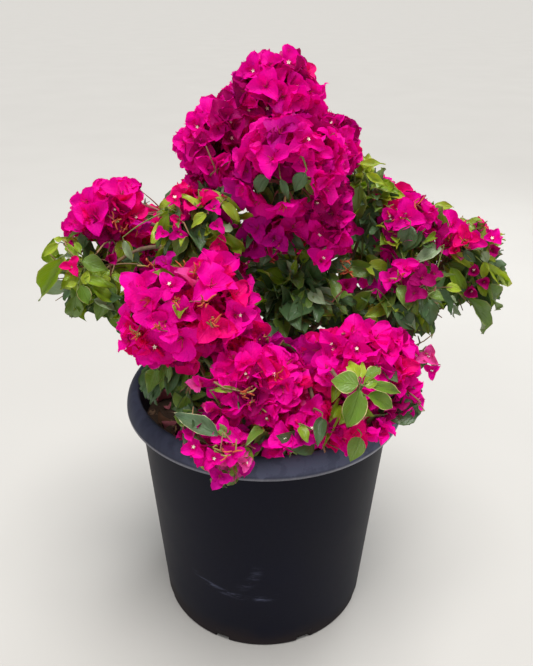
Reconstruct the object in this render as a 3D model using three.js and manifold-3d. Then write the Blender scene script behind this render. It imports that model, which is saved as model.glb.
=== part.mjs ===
// A bougainvillea bush in a black nursery pot: a short trunk, arching boughs, and masses of
// magenta bracts and green leaves that grow at their tips. Sizes are millimetres, +Z is up,
// and the origin is the middle of the pot's flat underside. The front is towards -Y.
import * as THREE from "three";
import { mergeVertices } from "three/addons/utils/BufferGeometryUtils.js";
import Module from "manifold-3d";

const wasm = await Module();
wasm.setup();

const clearance = 0.35; // between a piece and what carries it
const cutMargin = 0.3; // how much fatter a limb is made where it cuts its neighbours clear
const spare = 0.8; // how much fatter a leaf or twig is made to test whether it has room
const golden = Math.PI * (3 - Math.sqrt(5));
const point = (x, y, z) => new THREE.Vector3(x, y, z);

// Driving sizes
const pot = {
  height: 416,
  baseRadius: 179,
  bodyTopRadius: 206.5,
  bodyTop: 400,
  lipRadius: 225,
  lipHeight: 387,
  wall: 3,
  floor: 4,
  sides: 32,
  drains: 8,
};
const rim = { steps: 4, edge: 4 };
const drain = { width: 24, depth: 22, height: 9 };
const soil = { flat: 60, top: 350, hollow: [110, 348], mound: [160, 353], edge: 344 };
const trunk = { foot: 19, fork: 12.5, height: 92, lean: [9, -6], rings: 9, sides: 12 };
trunk.flare = { size: 0.45, lobes: 5, depth: 0.16 };
const bough = { sides: 5, rings: 5, fromTrunk: 6.2, fromBough: 4.2, tip: 2.4 };
const twig = { stem: 3, root: 1.3, tip: 1, sides: 3 };
const leaf = { length: 76, width: 48, thick: 1.8, widest: 0.42, fold: 0.09, droop: 0.14, fall: 0.45 };
leaf.sizes = [1, 0.8, 0.62]; // tried in turn, until one has room
const flower = { radius: 41, valley: 0.66, cup: 0.5, hub: 2.5 };
flower.sizes = [1, 0.82, 0.64];

// Shares of a mass's reach
const entryDepth = 0.82; // where its bough ends and its stem begins
const stemDepths = [0.55, 0.4, 0.25, 0.1];
const coreDepth = 0.58;
const denseDepths = [0.76, 0.68, 0.6]; // where a shoot may end, on a core or with none
const openDepths = [0.82, 0.72, 0.62, 0.52, 0.42, 0.32];
const overhang = 1.05;
const border = 0.03; // between two masses' spaces
const fullness = 1.1; // makes the spaces that much larger, so that they meet

// The crown. Each mass has its middle, its reach along X, Y and Z, the limb it grows from and
// how far along that limb, how much its bough arches over, how many shoots it holds, and the
// share of those shoots, counted from the top, that end in flowers. A dense mass has a core.
const crown = [
  {
    name: "top_blooms", at: [13, 30, 853], reach: [75, 72, 66],
    from: "trunk", fork: 1, arch: 0.05, shoots: 34, bloom: 1, dense: true,
  },
  {
    name: "shoulder_left_blooms", at: [-78, -8, 797], reach: [62, 66, 68],
    from: "top_blooms", fork: 0.55, arch: 0.2, shoots: 30, bloom: 1, dense: true,
  },
  {
    name: "upper_front_blooms", at: [30, -84, 782], reach: [73, 58, 66],
    from: "top_blooms", fork: 0.45, arch: 0.25, shoots: 32, bloom: 1, dense: true,
  },
  {
    name: "shoulder_right_blooms", at: [96, 0, 800], reach: [46, 54, 50],
    from: "top_blooms", fork: 0.7, arch: 0.25, shoots: 34, bloom: 1, dense: true,
  },
  {
    name: "back_top_blooms", at: [6, 108, 760], reach: [88, 62, 74],
    from: "top_blooms", fork: 0.5, arch: 0.3, shoots: 20, bloom: 1, dense: true,
  },
  {
    name: "right_column_blooms", at: [86, -52, 715], reach: [40, 48, 64],
    from: "top_blooms", fork: 0.3, arch: 0.3, shoots: 34, bloom: 1, dense: true,
  },
  {
    name: "inner_blooms", at: [0, -62, 680], reach: [56, 44, 42],
    from: "top_blooms", fork: 0.25, arch: 0.2, shoots: 28, bloom: 1,
  },
  {
    name: "left_outer_blooms", at: [-239, 30, 688], reach: [69, 56, 50],
    from: "trunk", fork: 0.75, arch: 0.5, shoots: 40, bloom: 1, dense: true,
  },
  {
    name: "left_outer_leaves", at: [-266, -20, 594], reach: [78, 66, 72],
    from: "left_outer_blooms", fork: 0.62, arch: 0.55, shoots: 30, bloom: 0.12,
  },
  {
    name: "left_middle_leaves", at: [-90, -66, 694], reach: [76, 56, 62],
    from: "left_outer_blooms", fork: 0.3, arch: 0.2, shoots: 36, bloom: 0.45,
  },
  {
    name: "left_front_blooms", at: [-97, -168, 615], reach: [94, 60, 72],
    from: "trunk", fork: 0.85, arch: 0.5, shoots: 36, bloom: 1, dense: true,
  },
  {
    name: "left_low_leaves", at: [-150, -98, 502], reach: [66, 60, 64],
    from: "left_front_blooms", fork: 0.4, arch: 0.7, shoots: 24, bloom: 0,
  },
  {
    name: "inner_leaves", at: [40, -45, 585], reach: [104, 88, 92],
    from: "trunk", fork: 0.96, arch: 0.1, shoots: 32, bloom: 0,
  },
  {
    name: "right_outer_leaves", at: [309, 30, 607], reach: [74, 70, 96],
    from: "trunk", fork: 0.7, arch: 0.45, shoots: 30, bloom: 0.5,
  },
  {
    name: "right_sprig_leaves", at: [152, 0, 722], reach: [46, 46, 76],
    from: "right_outer_leaves", fork: 0.35, arch: 0.1, shoots: 26, bloom: 0.1,
  },
  {
    name: "right_upper_blooms", at: [198, -22, 684], reach: [56, 48, 54],
    from: "right_outer_leaves", fork: 0.5, arch: 0.15, shoots: 34, bloom: 0.75, dense: true,
  },
  {
    name: "right_lower_leaves", at: [206, -62, 587], reach: [76, 60, 66],
    from: "right_outer_leaves", fork: 0.4, arch: 0.4, shoots: 34, bloom: 0.45,
  },
  {
    name: "front_left_blooms", at: [-22, -190, 516], reach: [96, 64, 68],
    from: "trunk", fork: 0.55, arch: 0.75, shoots: 44, bloom: 0.85, dense: true,
  },
  {
    name: "front_drop_blooms", at: [-56, -256, 456], reach: [62, 46, 58],
    from: "front_left_blooms", fork: 0.6, arch: 0.95, shoots: 32, bloom: 0.8, dense: true,
  },
  {
    name: "front_right_blooms", at: [132, -168, 536], reach: [92, 62, 72],
    from: "trunk", fork: 0.65, arch: 0.65, shoots: 34, bloom: 0.95, dense: true,
  },
  {
    name: "front_low_blooms", at: [76, -238, 462], reach: [86, 54, 56],
    from: "front_right_blooms", fork: 0.55, arch: 0.95, shoots: 38, bloom: 0.8, dense: true,
  },
  {
    name: "front_shoot_leaves", at: [113, -262, 534], reach: [66, 38, 66],
    from: "front_right_blooms", fork: 0.8, arch: 0.2, shoots: 7, bloom: 0, whorl: true,
  },
  {
    name: "side_sprig_blooms", at: [238, -104, 508], reach: [42, 38, 38],
    from: "front_right_blooms", fork: 0.45, arch: 0.5, shoots: 8, bloom: 0.7,
  },
  {
    name: "back_left_blooms", at: [-168, 126, 655], reach: [92, 80, 74],
    from: "trunk", fork: 0.9, arch: 0.45, shoots: 22, bloom: 0.9, dense: true,
  },
  {
    name: "back_right_blooms", at: [168, 146, 640], reach: [92, 80, 78],
    from: "trunk", fork: 0.8, arch: 0.45, shoots: 22, bloom: 0.8, dense: true,
  },
  {
    name: "back_low_blooms", at: [20, 206, 540], reach: [112, 74, 76],
    from: "trunk", fork: 0.6, arch: 0.65, shoots: 22, bloom: 0.6,
  },
  {
    name: "low_right_leaves", at: [158, 66, 510], reach: [76, 72, 64],
    from: "back_right_blooms", fork: 0.4, arch: 0.7, shoots: 17, bloom: 0.1,
  },
  {
    name: "back_side_leaves", at: [-196, 120, 508], reach: [72, 70, 66],
    from: "back_left_blooms", fork: 0.45, arch: 0.7, shoots: 16, bloom: 0.25,
  },
];
for (const mass of crown) {
  mass.at = point(...mass.at);
  mass.reach = point(...mass.reach).multiplyScalar(fullness);
}

const colours = {
  pot: new THREE.MeshStandardMaterial({ color: 0x24232f, roughness: 0.6, metalness: 0 }),
  soil: new THREE.MeshStandardMaterial({ color: 0x3a2a20, roughness: 1, metalness: 0 }),
  bark: new THREE.MeshStandardMaterial({ color: 0x6d5a45, roughness: 0.9, metalness: 0 }),
  bracts: new THREE.MeshStandardMaterial({ color: 0xe0128a, roughness: 0.65, metalness: 0 }),
  leaves: new THREE.MeshStandardMaterial({ color: 0x4d6f2c, roughness: 0.5, metalness: 0 }),
};

// Random numbers from 0 to 1 that are the same on each run.
function seeded(seed) {
  let state = seed >>> 0;
  return () => {
    state = (state + 0x6d2b79f5) >>> 0;
    let mixed = Math.imul(state ^ (state >>> 15), state | 1);
    mixed ^= mixed + Math.imul(mixed ^ (mixed >>> 7), mixed | 61);
    return ((mixed ^ (mixed >>> 14)) >>> 0) / 4294967296;
  };
}

// A closed triangle geometry as a solid, turned the right way out.
function solidOf(geometry) {
  const bare = geometry.index ? geometry.clone() : mergeVertices(geometry);
  bare.deleteAttribute("normal");
  bare.deleteAttribute("uv");
  const merged = mergeVertices(bare, 1e-4);
  const triVerts = new Uint32Array(merged.index.array);
  const vertProperties = merged.attributes.position.array;
  const made = new wasm.Manifold(new wasm.Mesh({ numProp: 3, vertProperties, triVerts }));
  if (made.volume() > 0) return made;
  return new wasm.Manifold(new wasm.Mesh({ numProp: 3, vertProperties, triVerts: triVerts.reverse() }));
}

function meshOf(name, solid, material) {
  const { vertProperties, triVerts, numProp, numVert } = solid.getMesh();
  const places = new Float32Array(numVert * 3);
  for (let i = 0; i < numVert; i++) {
    places.set(vertProperties.subarray(i * numProp, i * numProp + 3), i * 3);
  }
  const geometry = new THREE.BufferGeometry()
    .setAttribute("position", new THREE.BufferAttribute(places, 3))
    .setIndex(new THREE.BufferAttribute(triVerts, 1));
  const mesh = new THREE.Mesh(geometry, material);
  mesh.name = name;
  return mesh;
}

function shape(points, faces) {
  return new THREE.BufferGeometry().setFromPoints(points).setIndex(faces.flat());
}

// A tapering limb: a ring of points round each place on its path, closed at both ends. Extra
// makes it that much fatter, and longer at each end.
function limb(path, rings, sides, radiusAt, extra) {
  const points = [];
  const faces = [];
  let side = point(0.6, 0, 0.8);
  for (let i = 0; i < rings; i++) {
    const share = i / (rings - 1);
    const along = path.getTangent(share);
    const [across, third] = frameFor(along, side);
    const push = share === 0 ? -extra : share === 1 ? extra : 0;
    const middle = path.getPoint(share).addScaledVector(along, push);
    side = across;
    for (let k = 0; k < sides; k++) {
      const angle = (k / sides) * 2 * Math.PI;
      const radius = radiusAt(share, angle) + extra;
      points.push(
        middle.clone()
          .addScaledVector(across, radius * Math.cos(angle))
          .addScaledVector(third, radius * Math.sin(angle)),
      );
      if (i === 0) continue;
      const [near, far] = [(i - 1) * sides + k, (i - 1) * sides + ((k + 1) % sides)];
      faces.push([near, far, near + sides], [far, far + sides, near + sides]);
    }
  }
  const last = (rings - 1) * sides;
  for (let k = 1; k < sides - 1; k++) faces.push([0, k + 1, k], [last, last + k, last + k + 1]);
  return solidOf(shape(points, faces));
}

// Two directions square to a third, the first as near as can be to a given one.
function frameFor(along, near) {
  const side = near.clone().addScaledVector(along, -near.dot(along)).normalize();
  return [side, along.clone().cross(side)];
}

// Pot and soil

function turned(profile) {
  const outline = profile.map(([r, z]) => new THREE.Vector2(r, z));
  return solidOf(new THREE.LatheGeometry(outline, pot.sides).rotateX(Math.PI / 2));
}

function innerRadius(z) {
  const slope = (pot.bodyTopRadius - pot.baseRadius) / pot.bodyTop;
  return pot.baseRadius + slope * z - pot.wall;
}

// The rolled rim slopes out and down from the mouth to a thin lip that overhangs the body.
function rimProfile(inset) {
  const mouth = innerRadius(pot.height) + pot.wall;
  const across = pot.lipRadius - mouth - inset;
  const down = pot.height - pot.lipHeight - inset;
  return Array.from({ length: rim.steps + 1 }, (_, i) => {
    const angle = (i / rim.steps) * (Math.PI / 2);
    return [mouth + across * Math.sin(angle), pot.lipHeight + down * Math.cos(angle)];
  });
}

// The body tapers to its foot, which has a round edge and open drain slots.
function makePot() {
  let body = turned([
    [0, 0],
    [pot.baseRadius - rim.edge, 0],
    [pot.baseRadius, rim.edge],
    [pot.bodyTopRadius, pot.bodyTop],
    ...rimProfile(pot.wall).slice(1),
    ...rimProfile(0).reverse(),
    [innerRadius(pot.height), pot.height - pot.wall / 2],
    [innerRadius(pot.bodyTop), pot.bodyTop],
    [innerRadius(pot.floor + rim.edge), pot.floor + rim.edge],
    [innerRadius(0) - rim.edge, pot.floor],
    [0, pot.floor],
  ]);
  for (let i = 0; i < pot.drains; i++) {
    const angle = ((i + 0.5) / pot.drains) * 2 * Math.PI;
    const slot = new THREE.BoxGeometry(drain.depth, drain.width, 2 * drain.height)
      .translate(pot.baseRadius, 0, 0)
      .rotateZ(angle);
    body = body.subtract(solidOf(slot));
  }
  return body;
}

// The soil fills the pot to a flat middle, a shallow hollow and a mound near the wall.
function makeSoil() {
  const low = pot.floor + clearance;
  return turned([
    [0, low],
    [innerRadius(0) - rim.edge - clearance, low],
    [innerRadius(low + rim.edge) - clearance, low + rim.edge],
    [innerRadius(soil.edge) - clearance, soil.edge],
    soil.mound,
    soil.hollow,
    [soil.flat, soil.top],
    [0, soil.top],
  ]);
}

// Trunk and boughs

const trunkTop = point(...trunk.lean, soil.top + trunk.height);
const trunkPath = new THREE.QuadraticBezierCurve3(
  point(0, 0, soil.top + clearance),
  point(0, 0, soil.top + trunk.height / 2),
  trunkTop,
);

// The trunk tapers to its fork, and its foot spreads into rounded lobes.
function makeTrunk(extra) {
  const radiusAt = (share, angle) => {
    const { size, lobes, depth } = trunk.flare;
    const flare = 1 + size * Math.exp(-6 * share);
    const lobe = 1 + depth * Math.cos(lobes * angle) * Math.exp(-5 * share);
    const rounded = share === 1 ? 0.7 : 1;
    return (trunk.foot + (trunk.fork - trunk.foot) * share) * flare * lobe * rounded;
  };
  return limb(trunkPath, trunk.rings, trunk.sides, radiusAt, extra);
}

const limbPaths = new Map([["trunk", trunkPath]]);

// The way a mass's stem heads: away from its root, and the more its bough arches the more it droops.
function headingOf(mass, root) {
  const way = mass.at.clone().sub(root);
  way.z -= mass.arch * way.length();
  return way.normalize();
}

// A bough leaves its parent limb, rises, bends over and ends where it enters its mass.
function planBough(mass) {
  const parent = limbPaths.get(mass.from);
  const root = parent.getPoint(mass.fork);
  if (mass.fork === 1) root.addScaledVector(parent.getTangent(1), clearance);
  mass.heading = headingOf(mass, root);
  mass.through = mass.heading.clone().multiply(mass.reach);
  mass.entry = mass.at.clone().addScaledVector(mass.through, -entryDepth);
  const run = mass.entry.distanceTo(root);
  const bend = mass.entry.clone().addScaledVector(mass.through.clone().normalize(), -0.45 * run);
  limbPaths.set(mass.name, new THREE.QuadraticBezierCurve3(root, bend, mass.entry));
}

function makeBough(mass, extra) {
  const thick = mass.from === "trunk" ? bough.fromTrunk : bough.fromBough;
  const radiusAt = (share) => thick + (bough.tip - thick) * share;
  return limb(limbPaths.get(mass.name), bough.rings, bough.sides, radiusAt, extra);
}

// The largest body of a solid, without loose scraps or sealed hollows.
const largest = (solid) => solid.decompose().reduce((a, b) => (b.volume() > a.volume() ? b : a));

const limbs = []; // each limb as made, and a little fatter to cut its neighbours clear of it
const addLimb = (name, solid, fat) => limbs.push({ name, solid, fat, box: fat.boundingBox() });

function cutClear(solid) {
  for (const other of limbs) if (meets(solid.boundingBox(), other.box)) solid = solid.subtract(other.fat);
  return largest(solid);
}

function meets(a, b) {
  return [0, 1, 2].every((k) => a.min[k] <= b.max[k] && b.min[k] <= a.max[k]);
}

// Masses

// How far a place is from the middle of a mass, as a share of the mass's reach.
function shareOf(mass, place) {
  return place.clone().sub(mass.at).divide(mass.reach).length();
}

// Whether a place is in a mass's own space: inside its reach and nearer to it than to any other.
function owns(mass, place) {
  const own = shareOf(mass, place);
  return own <= overhang && crown.every((other) => other === mass || shareOf(other, place) > own + border);
}

// How much of its reach a mass has to itself in one direction.
function freeShare(mass, way) {
  const step = 0.04;
  const outward = way.clone().multiply(mass.reach);
  let share = 1;
  while (share > step && !owns(mass, mass.at.clone().addScaledVector(outward, share))) share -= step;
  return share;
}

// Directions spread evenly over a ball.
function evenWay(i, count, random) {
  const jitter = 0.25;
  const z = 1 - (2 * (i + 0.5)) / count;
  const angle = i * golden + (random() - 0.5) * jitter;
  const flat = Math.sqrt(1 - z * z);
  return point(flat * Math.cos(angle), flat * Math.sin(angle), z);
}

// Directions like the spokes of a wheel that faces the front.
function ringWay(i, count) {
  const angle = ((i + 0.35) / count) * 2 * Math.PI;
  return point(Math.cos(angle), -0.1, Math.sin(angle)).normalize();
}

function makeCore(mass) {
  const facets = new THREE.IcosahedronGeometry(1, 1).deleteAttribute("normal").deleteAttribute("uv");
  const ball = mergeVertices(facets);
  const places = ball.attributes.position;
  for (let i = 0; i < places.count; i++) {
    const way = point().fromBufferAttribute(places, i).normalize();
    const out = way.clone().multiply(mass.reach).multiplyScalar(coreDepth * freeShare(mass, way));
    places.setXYZ(i, ...mass.at.clone().add(out));
  }
  return solidOf(ball);
}

// Three points round the middle of a twig.
function ringOf(middle, [side, third], radius) {
  return [0, 1, 2].map((k) => {
    const angle = (k * 2 * Math.PI) / 3;
    return middle.clone()
      .addScaledVector(side, radius * Math.cos(angle))
      .addScaledVector(third, radius * Math.sin(angle));
  });
}

// A twig of three sides whose far end opens into a blade, as the points of one closed shape.
function makeShoot(root, tip, side, facing, bladePoints, bladeFaces, extra) {
  const along = tip.clone().sub(root).normalize();
  const points = [
    ...ringOf(root, frameFor(along, side), twig.root + extra),
    ...ringOf(tip, frameFor(facing, side), twig.tip + extra),
    ...bladePoints,
  ];
  const twigFaces = [0, 1, 2].flatMap((k) => {
    const next = (k + 1) % 3;
    return [[k, next, 3 + k], [next, 3 + next, 3 + k]];
  });
  return solidOf(shape(points, [[0, 2, 1], ...twigFaces, ...bladeFaces]));
}

// A leaf is a folded blade with two flanks, a tip, and a rib above and below.
function leafShoot(root, tip, fall, face, size, extra) {
  const side = fall.clone().cross(face).normalize();
  const normal = side.clone().cross(fall).normalize();
  const length = leaf.length * size + extra;
  const half = (leaf.width * size) / 2 + extra;
  const thick = leaf.thick / 2 + extra;
  const out = (share, sag) =>
    tip.clone().addScaledVector(fall, share * length).addScaledVector(normal, -sag * length);
  const rib = out(leaf.widest, leaf.fold);
  const blade = [
    out(leaf.widest, 0).addScaledVector(side, half),
    out(leaf.widest, 0).addScaledVector(side, -half),
    out(1, leaf.droop),
    rib.clone().addScaledVector(normal, thick),
    rib.clone().addScaledVector(normal, -thick),
  ];
  const faces = [
    [3, 6, 9], [3, 9, 5], [5, 9, 7], [6, 8, 9], [8, 7, 9], [4, 5, 7],
    [6, 3, 10], [3, 4, 10], [4, 7, 10], [8, 6, 10], [7, 8, 10],
  ];
  return makeShoot(root, tip, side, fall, blade, faces, extra);
}

// A flower is a cupped star of three bracts, widest across their tips.
function flowerShoot(root, tip, facing, size, spin, extra) {
  const near = point(Math.cos(spin), Math.sin(spin), 0.3);
  const [side, third] = frameFor(facing, near);
  const radius = flower.radius * size + extra;
  const rim = Array.from({ length: 6 }, (_, k) => {
    const isTip = k % 2 === 0;
    const angle = (k * Math.PI) / 3;
    const out = isTip ? radius : radius * flower.valley;
    const lift = (isTip ? flower.cup : flower.cup * 0.3) * radius;
    return tip.clone()
      .addScaledVector(side, out * Math.cos(angle))
      .addScaledVector(third, out * Math.sin(angle))
      .addScaledVector(facing, lift);
  });
  const hub = tip.clone().addScaledVector(facing, flower.hub + extra);
  const front = rim.map((_, k) => [6 + k, 6 + ((k + 1) % 6), 12]);
  const back = [0, 1, 2].flatMap((k) => {
    const next = (k + 1) % 3;
    const [bract, valley, following] = [6 + 2 * k, 7 + 2 * k, 6 + 2 * next];
    return [[3 + k, valley, bract], [3 + k, 3 + next, valley], [3 + next, following, valley]];
  });
  return makeShoot(root, tip, near, facing, [...rim, hub], [...front, ...back], extra);
}

function cornersOf(solid) {
  const { vertProperties, numProp, numVert } = solid.getMesh();
  const corner = (_, i) => point(...vertProperties.subarray(i * numProp, i * numProp + 3));
  return Array.from({ length: numVert }, corner);
}

const taken = []; // solids that a new leaf or twig may not touch
const take = (list, solid) => list.push({ solid, box: solid.boundingBox() });

function isClear(solid, others = taken) {
  const box = solid.boundingBox();
  return !others.some((other) => meets(box, other.box) && !solid.intersect(other.solid).isEmpty());
}

const fits = (mass, blade) => cornersOf(blade).every((place) => owns(mass, place)) && isClear(blade);

// A mass's own stem runs from its bough's tip through its middle, as far as it stays clear.
function planStem(mass) {
  const from = mass.entry.clone().addScaledVector(mass.through.clone().normalize(), clearance);
  const stemTo = (share, extra) => {
    const path = new THREE.LineCurve3(from, mass.at.clone().addScaledVector(mass.through, share));
    return { path, solid: limb(path, 2, twig.sides, () => twig.stem, extra) };
  };
  const share = stemDepths.find((each) => isClear(stemTo(each, clearance / 2).solid)) ?? 0;
  return stemTo(share, 0);
}

// How far along the stem a shoot forks off: near its root if it heads back, near its tip if ahead.
function rootShare(mass, way, random) {
  const ahead = 0.5 + 0.5 * way.dot(mass.heading);
  return Math.min(0.15 + 0.8 * ahead * (0.85 + 0.15 * random()), 0.96);
}

// The largest flower or leaf, and the furthest out, that has room on a shoot in one direction.
// What else the mass has grown may not be crossed by its blade, nor its twig cross their blades.
function growShoot(mass, stem, way, isFlower, own, random) {
  const outward = way.clone().multiply(mass.reach).multiplyScalar(freeShare(mass, way));
  const root = mass.dense
    ? mass.at.clone().addScaledVector(outward, coreDepth * 0.6)
    : stem.path.getPoint(mass.whorl ? 0.96 : rootShare(mass, way, random));
  const nod = point(random() - 0.5, random() - 0.5, 0.7 * random()).multiplyScalar(0.5);
  const spin = 2 * Math.PI * random();
  const face = mass.whorl ? point(0, -1, 0.3) : point(0, -0.3, 1);
  for (const size of isFlower ? flower.sizes : leaf.sizes) {
    for (const depth of mass.dense ? denseDepths : openDepths) {
      const tip = mass.at.clone().addScaledVector(outward, depth);
      const facing = (mass.whorl ? way : tip.clone().sub(root).normalize()).clone().add(nod);
      if (!isFlower && !mass.whorl) facing.z -= leaf.fall;
      facing.normalize();
      const make = (from, extra) => isFlower
        ? flowerShoot(from, tip, facing, size, spin, extra)
        : leafShoot(from, tip, facing, face, size, extra);
      const blade = make(tip.clone().addScaledVector(facing, -3), spare);
      if (!fits(mass, blade) || !isClear(blade, own.shoots)) continue;
      const whole = make(root, spare);
      if (!isClear(whole) || !isClear(whole, own.blades)) continue;
      take(own.blades, blade);
      take(own.shoots, whole);
      return make(root, 0);
    }
  }
  return null;
}

// One mass: its stem, its core if it has one, and shoots towards evenly spread places on its
// surface, each with a flower or a leaf at its end, all fused into one solid.
function makeMass(mass) {
  const random = seeded(1 + crown.indexOf(mass));
  const stem = planStem(mass);
  let whole = mass.dense ? stem.solid.add(makeCore(mass)) : stem.solid;
  const own = { blades: [], shoots: [] };
  for (let i = 0; i < mass.shoots; i++) {
    const way = mass.whorl ? ringWay(i, mass.shoots) : evenWay(i, mass.shoots, random);
    const isFlower = way.z >= 1 - 2 * mass.bloom;
    const shoot = growShoot(mass, stem, way, isFlower, own, random);
    if (shoot) whole = whole.add(shoot);
  }
  return cutClear(whole);
}

const bush = new THREE.Group();
bush.name = "bougainvillea";

for (const [name, solid] of [["pot", makePot()], ["soil", makeSoil()]]) {
  bush.add(meshOf(name, solid, colours[name]));
  take(taken, solid);
}
addLimb("trunk", makeTrunk(0), makeTrunk(cutMargin));
for (const mass of crown) {
  planBough(mass);
  addLimb(`bough_to_${mass.name}`, cutClear(makeBough(mass, 0)), makeBough(mass, cutMargin));
}
for (const { name, solid } of limbs) {
  bush.add(meshOf(name, solid, colours.bark));
  take(taken, solid);
}
// The smallest masses grow first, so that the large ones leave them their room.
const bySize = [...crown].sort((a, b) => a.reach.length() - b.reach.length());
for (const mass of bySize) {
  const solid = makeMass(mass);
  bush.add(meshOf(mass.name, solid, mass.name.endsWith("blooms") ? colours.bracts : colours.leaves));
  take(taken, solid);
}

export default bush;
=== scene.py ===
# A bougainvillea bush in a black nursery pot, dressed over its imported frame.
# Metres, +Z is up, the origin is the middle of the pot's underside, the front is towards -Y.
import math

import bpy
import numpy as np
from mathutils import Matrix, Vector, noise


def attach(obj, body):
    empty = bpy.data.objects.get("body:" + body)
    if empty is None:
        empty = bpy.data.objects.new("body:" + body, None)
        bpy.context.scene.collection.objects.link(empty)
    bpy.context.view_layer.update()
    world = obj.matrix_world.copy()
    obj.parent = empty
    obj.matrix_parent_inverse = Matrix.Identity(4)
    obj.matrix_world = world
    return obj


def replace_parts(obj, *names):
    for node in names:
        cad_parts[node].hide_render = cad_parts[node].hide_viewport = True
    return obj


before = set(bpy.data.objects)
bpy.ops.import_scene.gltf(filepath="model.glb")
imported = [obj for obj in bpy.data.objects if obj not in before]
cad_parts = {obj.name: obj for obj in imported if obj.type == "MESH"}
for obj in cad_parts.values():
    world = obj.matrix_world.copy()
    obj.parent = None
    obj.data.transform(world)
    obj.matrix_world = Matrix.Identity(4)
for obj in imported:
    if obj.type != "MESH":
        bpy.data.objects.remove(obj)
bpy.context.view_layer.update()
mm = 0.001
golden = math.pi * (3 - math.sqrt(5))
faceLimit = 190000  # triangles in one joined piece
seeds = dict(bracts=5, leaves=9, shoots=40, rosette=77, gaps=8, fallenShapes=21, fallen=3)

scene = bpy.context.scene
scene.view_settings.view_transform = "Standard"
scene.view_settings.look = "None"


# small helpers

def vec(x, y, z):
    return np.array((x, y, z), float)


def unit(v):
    return v / max(np.linalg.norm(v), 1e-9)


def ease(low, high, x):
    t = np.clip((x - low) / (high - low), 0, 1)
    return t * t * (3 - 2 * t)


def bezier(a, b, c, shares):
    t = np.asarray(shares, float)[:, None]
    return (1 - t) ** 2 * a + 2 * t * (1 - t) * b + t * t * c


def squareTo(along, near):
    # two directions square to a third, the first as near as can be to a given one
    side = near - along * near.dot(along)
    if np.linalg.norm(side) < 1e-4:
        side = np.cross(along, vec(0.3, 0.9, 0.2))
    side = unit(side)
    return side, np.cross(along, side)


def linear(red, green, blue):
    # a colour given as 0 to 255 on screen
    def one(c):
        c /= 255
        return c / 12.92 if c <= 0.04045 else ((c + 0.055) / 1.055) ** 2.4
    return (one(red), one(green), one(blue), 1)


# camera, light and floor

view = dict(at=(0, -0.961, 0.990), pitch=27, yaw=0.1, roll=0.55, focal=680, wide=533, high=666)


def viewAxes():
    pitch, yaw, roll = (math.radians(view[k]) for k in ("pitch", "yaw", "roll"))
    ahead = Vector((math.sin(yaw) * math.cos(pitch), math.cos(yaw) * math.cos(pitch), -math.sin(pitch)))
    right = Vector((math.cos(yaw), -math.sin(yaw), 0))
    up = right.cross(ahead)
    return (math.cos(roll) * right + math.sin(roll) * up, math.cos(roll) * up - math.sin(roll) * right, ahead)


def placeCamera():
    right, up, ahead = viewAxes()
    data = bpy.data.cameras.new("camera")
    data.sensor_width = 36
    data.lens = view["focal"] * 36 / view["high"]
    data.clip_end = 400
    camera = bpy.data.objects.new("camera", data)
    turn = Matrix((right, up, -ahead)).transposed().to_4x4()
    camera.matrix_world = Matrix.Translation(view["at"]) @ turn
    scene.collection.objects.link(camera)
    scene.camera = camera


studio = dict(
    world=(0.93, 0.96, 1.0, 1), worldStrength=0.36, aim=(0, 0, 0.5),
    sun=dict(place=(0.3, -0.5, 4.0), spread=40, strength=3.9, colour=(1, 0.985, 0.965)),
    lamps=[  # name, place, size, power, colour
        ("front_lamp", (-1.4, -2.4, 1.7), 1.6, 18, (1, 0.98, 0.96)),
        ("back_lamp", (1.2, 1.9, 2.0), 1.4, 22, (0.95, 0.98, 1)),
    ],
)


def addLamp(name, kind, place, power, colour, **shape):
    data = bpy.data.lights.new(name, kind)
    data.energy, data.color = power, colour
    for key, value in shape.items():
        setattr(data, key, value)
    lamp = bpy.data.objects.new(name, data)
    lamp.location = place
    lamp.rotation_euler = (Vector(studio["aim"]) - lamp.location).to_track_quat("-Z", "Y").to_euler()
    scene.collection.objects.link(lamp)


def lightStudio():
    world = bpy.data.worlds.new("studio")
    world.use_nodes = True
    sky = world.node_tree.nodes["Background"].inputs
    sky["Color"].default_value, sky["Strength"].default_value = studio["world"], studio["worldStrength"]
    scene.world = world
    sun = studio["sun"]
    spread = math.radians(sun["spread"])
    addLamp("soft_sun", "SUN", sun["place"], sun["strength"], sun["colour"], angle=spread)
    for name, place, size, power, colour in studio["lamps"]:
        addLamp(name, "AREA", place, power, colour, shape="DISK", size=size)


# what the photo shows of the crown, in its pixels

eye = np.array(view["at"])
viewTurn = np.array(viewAxes())


def toPixel(places):
    across, high, far = viewTurn @ (np.asarray(places) - eye).T
    x, y = view["wide"] / 2 + view["focal"] * across / far, view["high"] / 2 - view["focal"] * high / far
    return np.stack((x, y), 1)


def sightLine(x, y):
    # from the eye through a pixel
    right, up, ahead = viewTurn
    across, high = (x - view["wide"] / 2) / view["focal"], (y - view["high"] / 2) / view["focal"]
    return unit(ahead + right * across - up * high)


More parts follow.
